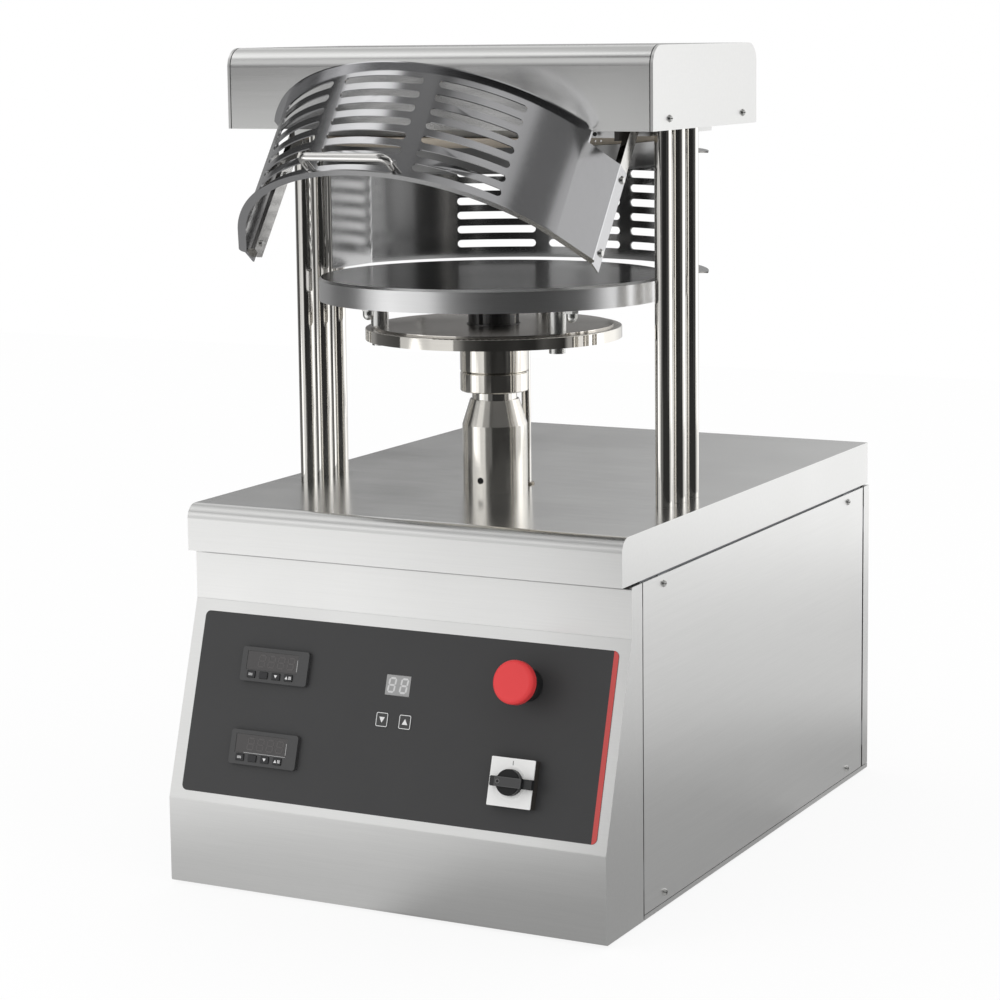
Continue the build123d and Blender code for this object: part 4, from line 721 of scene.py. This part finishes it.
@dataclass
class ConsolePrints:
    """What is printed on, or shown by, the console, with painted highlights on its windows' bevels; each size
    of figures is width, height and stroke.
    """

    plane: FacePlane
    print_span: Span = (0.03, 0.10)
    overlay_right: float = 240.6
    overlay_half_height: float = 94.3
    overlay_corner: float = 6.0
    stripe_width: float = 5.4
    stripe_step: int = 15
    film_top: float = 0.5
    window_top: float = 4.6
    window_x: float = -141.7
    window_y: float = 3.95
    window_right: float = -116.6
    window_height: float = 19.3
    # Sizes of the painted highlights on the windows' bevels
    highlight_width: float = 0.45
    side_highlight_middle: float = 0.42
    side_highlight_share: float = 0.62
    low_highlight_rise: float = 0.3
    low_highlight_length: float = 50.0
    controller_y: float = 43.0
    figure_size: Triple = (8.7, 13.3, 1.5)
    figure_pitch: float = 11.6
    figure_places: tuple[float, ...] = (-1.5, -0.5, 0.5, 1.5)
    key_x: float = -147.4
    key_pitch: float = 15.0
    key_y: float = -10.6
    key_top: float = 6.2
    row_middle: float = 2.5
    timer_x: float = 1.6
    timer_y: float = 37.5
    timer_field: Triple = (27.9, 20.1, 0.6)
    timer_field_span: Span = (0.72, 0.78)
    timer_figure_size: Triple = (9.0, 16.0, 2.0)
    timer_figure_offset: float = 6.9
    timer_figure_span: Span = (0.80, 0.86)
    arrow_offset: float = 13.3
    arrow_y: float = 1.7
    arrow_top: float = 1.1
    arrow_foot: float = 2.7
    arrow_reach: float = 3.2
    border_outside: Triple = (13.3, 14.2, 1.6)
    border_inside: Triple = (11.9, 12.8, 0.9)
    switch_plate_top: float = 11.5
    switch_mark_rise: float = 19.2
    switch_mark_size: Span = (0.9, 4.4)

    def lay(self, name: str, outlines: list[Outline], top: float, stock: Stock) -> None:
        """Lays a print, or a painted highlight, on a surface that stands out from the console by top."""
        relief(name, self.plane, outlines, lifted(top, self.print_span), stock)

    def build_stripe(self) -> None:
        """Prints the red stripe down the overlay's right edge, round its corners."""
        corner, left = self.overlay_corner, self.overlay_right - self.stripe_width
        centre_x, centre_y = self.overlay_right - corner, self.overlay_half_height - corner
        top = [(left, centre_y + math.sqrt(max(0.0, corner**2 - (left - centre_x) ** 2)))]
        for degrees in range(self.stripe_step, 91, self.stripe_step):
            x = centre_x + corner * math.sin(math.radians(degrees))
            if x >= left:
                top.append((x, centre_y + corner * math.cos(math.radians(degrees))))
        outline = top + [(x, -y) for x, y in reversed(top)]
        self.lay("console_stripe", [outline], self.film_top, Stock(RED_PRINT, "overlay_film"))

    def build_figures(self) -> None:
        """Shows the unlit figures of the two controllers."""
        for place, row in CONTROLLERS:
            y, outlines = row * self.controller_y + self.window_y, []
            for step in self.figure_places:
                outlines += digit_outlines(self.window_x + step * self.figure_pitch, y, *self.figure_size)
            self.lay(f"{place}_controller_figures", outlines, self.window_top, Stock(DIM_SEGMENT, "window"))

    def build_timer(self) -> None:
        """Shows the timer's field and its two figures."""
        field, figures = box_outline(self.timer_x, self.timer_y, *self.timer_field), []
        for side in (-1, 1):
            x = self.timer_x + side * self.timer_figure_offset
            figures += digit_outlines(x, self.timer_y, *self.timer_figure_size)
        relief("timer_field", self.plane, [field], self.timer_field_span, Stock(TIMER_FIELD, "window"))
        relief("timer_figures", self.plane, figures, self.timer_figure_span, Stock(TIMER_SEGMENT, "window"))

    def build_key_marks(self) -> None:
        """Prints the marks on the controllers' keys."""
        for place, row in CONTROLLERS:
            y = row * self.controller_y + self.key_y
            for number, mark in KEY_MARKS.items():
                outlines = mark.outlines(self.key_x + (number - self.row_middle) * self.key_pitch, y)
                stock = Stock(WHITE_PRINT, "key_rubber", f"{place}_key_{number}_cap")
                self.lay(f"{place}_key_{number}_mark", outlines, self.key_top, stock)

    def build_arrow_marks(self) -> None:
        """Prints the borders and the arrows on the down and up keys."""
        for name, side in (("down_key", -1), ("up_key", 1)):
            x, y = self.timer_x + side * self.arrow_offset, self.arrow_y
            stock = Stock(WHITE_PRINT, "arrow_key", f"{name}_cap")
            outer, inner = box_outline(x, y, *self.border_outside), box_outline(x, y, *self.border_inside)
            span = lifted(self.arrow_top, self.print_span)
            relief(f"{name}_border", self.plane, [outer], span, stock, inner)
            foot, reach_out = y - side * self.arrow_foot, side * self.arrow_reach
            arrow = [(x - reach_out, foot), (x + reach_out, foot), (x, y + reach_out)]
            self.lay(f"{name}_arrow", [arrow], self.arrow_top, stock)

    def build_window_highlights(self) -> None:
        """Sets painted highlights on the bevels along the lower and right edges of the controllers' windows.
        """
        right, height, width = self.window_right, self.window_height, self.highlight_width
        for place, row in CONTROLLERS:
            low = row * self.controller_y + self.window_y - height / 2
            middle = low + height * self.side_highlight_middle
            highlights = [box_outline(right, middle, width, height * self.side_highlight_share)]
            if place == "lower":
                length = self.low_highlight_length
                highlights.append(box_outline(right - length / 2, low + self.low_highlight_rise, length, width))
            self.lay(f"{place}_window_highlight", highlights, self.window_top, Stock(PAINTED_BEVEL_HIGHLIGHT, "window"))

    def build_switch_mark(self) -> None:
        """Prints the mark over the main switch's knob."""
        x, y = SWITCH_CENTRE
        outline = box_outline(x, y + self.switch_mark_rise, *self.switch_mark_size)
        self.lay("switch_on_mark", [outline], self.switch_plate_top, Stock(GREY_PRINT_AND_HIGHLIGHT, "white_plastic"))

    def build(self) -> None:
        """Makes every print."""
        self.build_stripe()
        self.build_figures()
        self.build_timer()
        self.build_key_marks()
        self.build_arrow_marks()
        self.build_window_highlights()
        self.build_switch_mark()


@dataclass
class SwitchKnob:
    """Painted light and shade on the main switch's knob: a darker disc face, a lighter grip face, a highlight
    on the grip's edge and one round the arrow recess, with shade in the recess.
    """

    plane: FacePlane
    disc_radius: float = 12.7
    disc_points: int = 48
    grip_centre: float = 0.9
    grip_length: float = 28.7
    grip_width: float = 9.4
    grip_corner: float = 1.2
    edge: float = 0.35
    grip_over_disc: float = 2.0
    recess_offset: float = -10.0
    recess_radius: float = 2.1
    disc_span: Span = (0.02, 0.12)
    grip_light_span: Span = (0.02, 0.14)
    highlight_span: Span = (-0.3, 0.12)
    rim_highlight_span: Span = (0.14, 0.20)
    recess_span: Span = (0.14, 0.17)

    def build(self) -> None:
        """Lays the pieces on the knob."""
        x, y = SWITCH_CENTRE
        top = reach("switch_knob", self.plane)
        middle, mark = x + self.grip_centre, x + self.recess_offset
        length, width, corner = self.grip_length, self.grip_width, self.grip_corner
        disc = round_outline(x, y, self.disc_radius, self.disc_points)
        grip = box_outline(middle, y, length, width, corner)
        grip_face = box_outline(middle, y, length - 2 * self.edge, width - 2 * self.edge, corner)
        ring = round_outline(mark, y, self.recess_radius)
        recess = round_outline(mark, y, self.recess_radius - self.edge)
        # Painted shade on the disc, painted light on the grip's top, painted highlights on the grip's edge
        # and round the recess, and shade in the recess
        for name, face, outline, span, finish, opening in (
            ("knob_disc_shade", top - self.grip_over_disc, disc, self.disc_span, KNOB_DISC_SHADE, None),
            ("knob_grip_painted_light", top, grip_face, self.grip_light_span, CONTROLLER_SHELL, None),
            ("knob_grip_highlight", top, grip, self.highlight_span, GRIP_HIGHLIGHT, grip_face),
            ("knob_recess_highlight", top, ring, self.rim_highlight_span, GREY_PRINT_AND_HIGHLIGHT, recess),
            ("knob_recess", top, recess, self.recess_span, RECESS_SHADE, None),
        ):
            stock = Stock(finish, "black_plastic", "switch_turn")
            relief(name, self.plane, [outline], lifted(face, span), stock, opening)


@dataclass
class StopButton:
    """The bright ring round the stop button's collar."""

    plane: FacePlane
    radius: float = 15.5
    width: float = 0.6
    points: int = 48
    span: Span = (9.2, 9.8)

    def build(self) -> None:
        """Snaps the ring on."""
        outer = round_outline(*STOP_CENTRE, self.radius, self.points)
        inner = round_outline(*STOP_CENTRE, self.radius - self.width, self.points)
        stock = Stock(ZINC_PLATE, "black_plastic")
        relief("estop_collar_ring", self.plane, [outer], self.span, stock, inner)


def reach(node: str, plane: FacePlane) -> float:
    """Returns how far a frame node stands out of a face, in millimetres."""
    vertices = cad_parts[node].data.vertices
    return max(plane.normal.dot(vertex.co - plane.origin) for vertex in vertices) / MM


def islands(node: str) -> list[tuple[Vector, Vector]]:
    """Finds the separate solids of one frame node, in the order of its vertices.

    Args:
        node: The frame node's name.

    Returns:
        The lowest and highest corner of each solid.
    """
    mesh = bmesh.new()
    mesh.from_mesh(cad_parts[node].data)
    bmesh.ops.remove_doubles(mesh, verts=mesh.verts, dist=WELD)
    unseen, boxes = set(mesh.verts), []
    for start in mesh.verts:
        if start not in unseen:
            continue
        unseen.remove(start)
        waiting, group = [start], []
        while waiting:
            vertex = waiting.pop()
            group.append(vertex.co.copy())
            for edge in vertex.link_edges:
                other = edge.other_vert(vertex)
                if other in unseen:
                    unseen.remove(other)
                    waiting.append(other)
        boxes.append((Vector(map(min, zip(*group))), Vector(map(max, zip(*group)))))
    mesh.free()
    return boxes


@dataclass
class ScrewRecesses:
    """The cross recesses in the heads of the side screws."""

    arm: float = 4.6
    stroke: float = 1.1
    corner: float = 0.3
    span: Span = (0.02, 0.07)

    def build(self) -> None:
        """Lays a dark cross on each screw head."""
        for number, (low, high) in enumerate(islands("panel_screws"), 1):
            side = 1 if low.x + high.x > 0 else -1
            place = Vector((high.x if side > 0 else low.x, (low.y + high.y) / 2, (low.z + high.z) / 2))
            plane = FacePlane(place, Y_AXIS * side, Z_AXIS)
            level = box_outline(0.0, 0.0, self.arm, self.stroke, self.corner)
            upright = box_outline(0.0, 0.0, self.stroke, self.arm, self.corner)
            stock = Stock(RECESS_SHADE, "zinc")
            relief(f"side_screw_recess_{number}", plane, [level, upright], self.span, stock)


@dataclass
class GuardFittings:
    """The small holes in the front guard's upper flange."""

    lean: float = 36.2
    flange_drop: float = 52.2
    sheet: float = 1.5
    arc_behind_pivot: float = 36.0
    hole_circle: float = 203.0
    hole_radius: float = 1.3
    hole_span: Span = (0.02, 0.06)
    bearings: tuple[float, ...] = (-54.0, -18.9, -0.6)

    def build(self) -> None:
        """Marks each hole on the flange's underside."""
        low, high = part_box("guard_pivots")
        sine, cosine = math.sin(math.radians(self.lean)), math.cos(math.radians(self.lean))
        pivot = Vector((0.0, (low.y + high.y) / 2, (low.z + high.z) / 2))
        underside = Vector((0.0, -sine, -cosine)) * (self.flange_drop + self.sheet) * MM
        plane = FacePlane(pivot + underside, X_AXIS, Vector((0.0, -cosine, sine)))
        for number, bearing in enumerate(self.bearings, 1):
            x = self.hole_circle * math.sin(math.radians(bearing))
            y = self.hole_circle * math.cos(math.radians(bearing)) - self.arc_behind_pivot
            hole = round_outline(x, y, self.hole_radius)
            stock = Stock(RECESS_SHADE, "guard_sheet", "guard")
            relief(f"guard_flange_hole_{number}", plane, [hole], self.hole_span, stock)


@dataclass
class HeadFittings:
    """The seams of the head cover and the small screws under the head."""

    seam_width: float = 0.9
    seam_lift: float = 0.12
    fold_radius: float = 20.0
    fold_steps: int = 10
    plug_radius: float = 1.1
    plug_spacing: float = 7.4
    plug_bearing: float = -24.0
    plug_span: Span = (-0.1, 0.5)
    beam_screw_x: float = 166.8
    beam_screw_rise: float = 3.9
    beam_screw_radius: float = 2.2
    beam_screw_tail: tuple[float, ...] = (-3.2, 0.0, 2.4, 0.9)
    beam_screw_span: Span = (0.02, 0.5)

    def build_seams(self) -> None:
        """Draws the dark seams where the cover meets its end plates."""
        low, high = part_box("head_cover")
        radius, lift = self.fold_radius * MM, self.seam_lift * MM
        profile = [(low.y, low.z, -1.0, 0.0)]
        for step in range(self.fold_steps + 1):
            angle = math.radians(90.0 * step / self.fold_steps)
            away, rise = -math.cos(angle), math.sin(angle)
            profile.append((low.y + radius + radius * away, high.z - radius + radius * rise, away, rise))
        for name, side in SIDES:
            edge = high.x if side > 0 else low.x
            across = (edge - side * self.seam_width * MM, edge)
            mesh = bmesh.new()
            rows = []
            for y, z, away, rise in profile:
                places = [(x, y + out * away, z + out * rise) for x in across for out in (lift, -lift)]
                rows.append([mesh.verts.new(place) for place in places])
            for row, following in zip(rows, rows[1:]):
                for first, second in ((0, 2), (2, 3), (3, 1), (1, 0)):
                    mesh.faces.new((row[first], row[second], following[second], following[first]))
            finish_piece(f"head_seam_{name}", mesh, Stock(RECESS_SHADE, "steel_panel"))

    def build_plugs(self) -> None:
        """Sets the two plugs in the insulation's edge."""
        low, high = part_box("insulation_disc")
        centre, radius = (low + high) / 2, (high.x - low.x) / 2
        half_angle = self.plug_spacing * MM / radius / 2
        for number, side in enumerate((-1, 1), 1):
            angle = math.radians(self.plug_bearing) + side * half_angle
            outward = Vector((math.cos(angle), math.sin(angle), 0.0))
            plane = FacePlane(centre + outward * radius, Z_AXIS.cross(outward), Z_AXIS)
            plug = round_outline(0.0, 0.0, self.plug_radius)
            stock = Stock(ZINC_PLATE, "zinc")
            relief(f"insulation_plug_{number}", plane, [plug], self.plug_span, stock)

    def build_beam_screw(self) -> None:
        """Sets the screw in the beam's front."""
        low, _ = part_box("head_beam")
        place = Vector((self.beam_screw_x * MM, low.y, low.z + self.beam_screw_rise * MM))
        plane = FacePlane(place, X_AXIS, Z_AXIS)
        outlines = [round_outline(0.0, 0.0, self.beam_screw_radius), box_outline(*self.beam_screw_tail)]
        relief("beam_screw", plane, outlines, self.beam_screw_span, Stock(RECESS_SHADE, "zinc"))

    def build(self) -> None:
        """Makes the head's seams and screws."""
        self.build_seams()
        self.build_plugs()
        self.build_beam_screw()


@dataclass
class CoverFittings:
    """The dark returns behind the slits under the worktop's sides, and the sleeve's set screw."""

    sheet: float = 1.5
    return_thickness: float = 1.0
    return_gap: float = 0.1
    return_height: float = 17.0
    overlap: float = 6.0
    screw_rise: float = 13.5
    screw_radius: float = 3.4
    screw_depth: float = 2.3
    screw_span: Span = (-0.1, 0.4)

    def build_returns(self) -> None:
        """Hangs a return inside each side of the cover."""
        low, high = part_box("worktop_cover")
        panel_low, panel_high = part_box("right_side_panel")
        depth, middle = (panel_high.y - panel_low.y) / MM, (panel_high.y + panel_low.y) / 2
        outline = box_outline(0.0, -self.return_height / 2, depth, self.return_height)
        span, stock = (0.0, self.return_thickness - self.return_gap), Stock(FRAME_PRIMER, "frame_steel")
        for name, side in SIDES:
            inner = (high.x if side > 0 else -low.x) - (self.sheet + self.return_thickness) * MM
            place = Vector((side * inner, middle, low.z + self.overlap * MM))
            plane = FacePlane(place, Y_AXIS * side, Z_AXIS)
            relief(f"worktop_return_{name}", plane, [outline], span, stock)

    def build_set_screw(self) -> None:
        """Sets the socket screw in its hole at the foot of the sleeve."""
        low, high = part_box("guide_sleeve")
        _, cover_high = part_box("worktop_cover")
        bottom, rise = low.y + self.screw_depth * MM, cover_high.z + self.screw_rise * MM
        plane = FacePlane(Vector(((low.x + high.x) / 2, bottom, rise)), X_AXIS, Z_AXIS)
        outline = round_outline(0.0, 0.0, self.screw_radius)
        relief("sleeve_set_screw", plane, [outline], self.screw_span, Stock(RECESS_SHADE, "zinc"))

    def build(self) -> None:
        """Makes the returns and the set screw."""
        self.build_returns()
        self.build_set_screw()


@dataclass
class LiftFittings:
    """The dark tab washer and the slotted ring round the nut that holds the carrier disc."""

    ring_radius: float = 27.0
    ring_top: float = 14.2
    ring_points: int = 48
    slot_count: int = 4
    slot_points: int = 3
    slot_depth: float = 3.2
    washer_radius: float = 28.5
    washer_low: float = 0.02
    washer_top: float = 1.2
    bore_gap: float = 0.05

    def slotted(self, outline: Outline) -> Outline:
        """Sets the points of a circle in where the ring has its slots.

        Args:
            outline: The circle round the ring.

        Returns:
            The slotted outline.
        """
        pitch, inset = self.ring_points // self.slot_count, 1.0 - self.slot_depth / self.ring_radius
        shares = [inset if step % pitch < self.slot_points else 1.0 for step in range(self.ring_points)]
        return [(x * share, y * share) for (x, y), share in zip(outline, shares)]

    def build(self) -> None:
        """Makes the tab washer and the slotted ring on the disc."""
        shaft_low, shaft_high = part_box("lift_shaft")
        _, disc_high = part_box("carrier_disc")
        centre = (shaft_low + shaft_high) / 2
        plane = FacePlane(Vector((centre.x, centre.y, disc_high.z)), X_AXIS, Y_AXIS)
        bore = (shaft_high.x - shaft_low.x) / 2 / MM + self.bore_gap
        radii = (self.washer_radius, self.ring_radius, bore)
        washer, ring, inner = (round_outline(0.0, 0.0, radius, self.ring_points) for radius in radii)
        for name, outer, span in (
            ("hub_tab_washer", washer, (self.washer_low, self.washer_top)),
            ("hub_locknut", self.slotted(ring), (self.washer_top, self.ring_top)),
        ):
            stock = Stock(BLACK_OXIDE, "plated_column", "lift")
            relief(name, plane, [outer], span, stock, inner)


@dataclass(frozen=True)
class SoftLamp:
    """One flat soft lamp, seen in the metal but not by the camera."""

    name: str
    place: Triple
    aim: Triple
    width: float
    height: float
    radiance: float

    def build(self) -> None:
        """Hangs the lamp and turns it to its aim."""
        data = bpy.data.lights.new(self.name, "AREA")
        data.shape = "RECTANGLE"
        data.size = self.width
        data.size_y = self.height
        data.energy = math.pi * self.width * self.height * self.radiance
        lamp = bpy.data.objects.new(self.name, data)
        lamp.visible_camera = False
        bpy.context.scene.collection.objects.link(lamp)
        lamp.location = self.place
        lamp.rotation_euler = (Vector(self.aim) - Vector(self.place)).to_track_quat("-Z", "Y").to_euler()


@dataclass
class Studio:
    """The floor, the lamps, the world and the camera."""

    camera_place: Triple = (1.36614, -2.72899, 0.88453)
    azimuth: float = 27.392
    pitch: float = 7.97
    roll: float = -0.658
    lens: float = 100.636
    sensor: float = 36.0
    shift: float = -0.08
    plain_level: float = 0.85
    band_seams: tuple[float, ...] = (0.21, 0.64, 0.91)
    band_softness: float = 0.02
    low_band: Levels = (
        (-180, 0.80), (-168, 0.70), (-150, 0.14), (-138, 0.28), (-108, 0.26), (-100, 0.12),
        (-82, 0.08), (-60, 0.05), (-46, 0.08), (-34, 0.10), (-30, 0.20), (-6, 0.26), (2, 0.06),
        (20, 0.02), (64, 0.02), (72, 0.07), (93, 0.02), (97, 0.32), (113, 0.34), (117, 1.08),
        (165, 1.05), (180, 0.80),
    )
    middle_band: Levels = (
        (-180, 0.76), (-134, 0.73), (-126, 0.05), (-72, 0.05), (-68, 0.38), (-47, 0.40),
        (-43, 0.70), (-22, 0.70), (-18, 0.30), (3, 0.28), (8, 0.08), (30, 0.10), (88, 0.10),
        (92, 0.15), (118, 0.16), (126, 1.0), (160, 1.0), (180, 0.76),
    )
    high_band: Levels = (
        (-180, 0.58), (-134, 0.56), (-126, 0.60), (-98, 0.80), (-92, 1.0), (-73, 1.0),
        (-67, 1.15), (-48, 1.15), (-42, 0.14), (17, 0.12), (23, 0.41), (48, 0.41), (56, 0.52),
        (98, 0.52), (106, 0.70), (160, 0.70), (180, 0.58),
    )
    zenith: Levels = ((-180, 0.28), (-6, 0.28), (6, 0.12), (180, 0.12))
    floor_reach: float = 4.0
    floor_squares: int = 8
    floor_grey: float = 0.80
    floor_white: float = 1.07
    shadow_share: float = 0.2
    # Rings of painted light that the metal mirrors on the floor; the near ring is darker as a painted shadow
    # of the object
    floor_seams: tuple[float, ...] = (0.175, 0.45)
    floor_softness: float = 0.03
    near_floor: Levels = (
        (-180, 0.40), (-165, 0.38), (-94, 0.36), (-86, 0.28), (-48, 0.26), (-42, 0.56),
        (-4, 0.56), (4, 0.34), (116, 0.35), (124, 0.42), (180, 0.40),
    )
    middle_floor: Levels = (
        (-180, 0.45), (-165, 0.34), (-78, 0.24), (-72, 0.24), (-47, 0.24), (-43, 1.0), (8, 1.0),
        (12, 0.30), (43, 0.30), (48, 0.22), (77, 0.22), (83, 0.84), (116, 0.84), (124, 0.69),
        (160, 0.69), (180, 0.45),
    )
    far_floor: Levels = (
        (-180, 0.70), (-165, 0.42), (-124, 0.40), (-116, 0.18), (-78, 0.16), (-72, 0.14),
        (-54, 0.14), (-50, 0.95), (-39, 0.95), (-37, 0.58), (-27, 0.58), (-25, 0.12), (14, 0.15),
        (17, 0.03), (74, 0.03), (77, 0.03), (98, 0.03), (102, 0.56), (128, 0.56), (132, 1.2),
        (165, 1.2), (180, 0.70),
    )
    lamps: tuple[SoftLamp, ...] = (
        SoftLamp("card_front_left", (-0.55, -0.95, 0.42), (0.0, -0.1, 0.35), 1.0, 0.78, 0.52),
        SoftLamp("lamp_right", (1.9, 1.0, 0.9), (0.1, 0.0, 0.5), 1.6, 1.5, 0.45),
    )

    def build_camera(self) -> None:
        """Places the camera at the photograph's angle."""
        data = bpy.data.cameras.new("view_camera")
        data.lens = self.lens
        data.sensor_width = self.sensor
        data.shift_y = self.shift
        camera = bpy.data.objects.new("view_camera", data)
        bpy.context.scene.collection.objects.link(camera)
        azimuth, pitch, roll = (math.radians(angle) for angle in (self.azimuth, self.pitch, self.roll))
        level = Vector((math.cos(azimuth), math.sin(azimuth), 0.0))
        ahead = Z_AXIS.cross(level) * math.cos(pitch) - Z_AXIS * math.sin(pitch)
        raised = level.cross(ahead)
        across = level * math.cos(roll) + raised * math.sin(roll)
        upward = raised * math.cos(roll) - level * math.sin(roll)
        turn = Matrix((across, upward, -ahead)).transposed()
        camera.matrix_world = Matrix.Translation(self.camera_place) @ turn.to_4x4()
        bpy.context.scene.camera = camera

    def build_floor(self) -> None:
        """Lays the pale floor; to the metal it shows rings of painted light, darker near the object as a
        painted shadow.
        """
        mesh = bmesh.new()
        squares = self.floor_squares
        bmesh.ops.create_grid(mesh, x_segments=squares, y_segments=squares, size=self.floor_reach)
        data = bpy.data.meshes.new("floor")
        mesh.to_mesh(data)
        mesh.free()
        floor = bpy.data.objects.new("floor", data)
        bpy.context.scene.collection.objects.link(floor)
        material = bpy.data.materials.new("floor_paper")
        material.use_nodes = True
        graph = ShaderGraph(material.node_tree)
        place = graph.add("TexCoord").outputs["Object"]
        radius = graph.add("VectorMath", operation="LENGTH")
        graph.join(place, radius.inputs[0])
        away = graph.maths("DIVIDE", radius.outputs["Value"], self.floor_reach)
        share, _ = graph.bearing(place)
        rings = (self.near_floor, self.middle_floor, self.far_floor)
        greys = graph.stack(share, away, rings, self.floor_seams, self.floor_softness)
        mirrored = graph.shader("Emission", greys)
        paper = graph.shader("BsdfDiffuse", grey(self.floor_grey))
        white = graph.shader("Emission", grey(1.0), Strength=self.floor_white)
        graph.sort_rays(graph.blend(self.shadow_share, white, paper), mirrored, paper, "OutputMaterial")
        data.materials.append(material)

    def build_world(self) -> None:
        """Makes the surroundings that the metal mirrors."""
        world = bpy.data.worlds.new("studio_world")
        bpy.context.scene.world = world
        world.use_nodes = True
        graph = ShaderGraph(world.node_tree)
        share, height = graph.bearing(graph.add("TexCoord").outputs["Generated"])
        above = graph.maths("MAXIMUM", height, 0.0)
        bands = (self.low_band, self.middle_band, self.high_band, self.zenith)
        greys = graph.stack(share, above, bands, self.band_seams, self.band_softness)
        studio = graph.shader("Background", greys)
        plain = graph.shader("Background", grey(self.plain_level))
        graph.sort_rays(graph.shader("Background", grey(1.0)), studio, plain, "OutputWorld")

    def build(self) -> None:
        """Sets the whole studio."""
        bpy.context.scene.view_settings.view_transform = "Standard"
        self.build_camera()
        self.build_floor()
        self.build_world()
        for lamp in self.lamps:
            lamp.build()


def main() -> None:
    """Builds the scene in order."""
    logging.basicConfig(level=logging.INFO, format="%(message)s")
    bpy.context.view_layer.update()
    Studio().build()
    for node in sorted(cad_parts):
        dress(node)
    slope = math.asin(CONSOLE_LEAN)
    console = FacePlane(Vector(CONSOLE_ORIGIN), X_AXIS, Vector((0.0, math.sin(slope), math.cos(slope))))
    for on_console in (ConsolePrints, SwitchKnob, StopButton):
        on_console(console).build()
    for fittings in (ScrewRecesses, GuardFittings, HeadFittings, CoverFittings, LiftFittings):
        fittings().build()


if __name__ == "__main__":
    main()
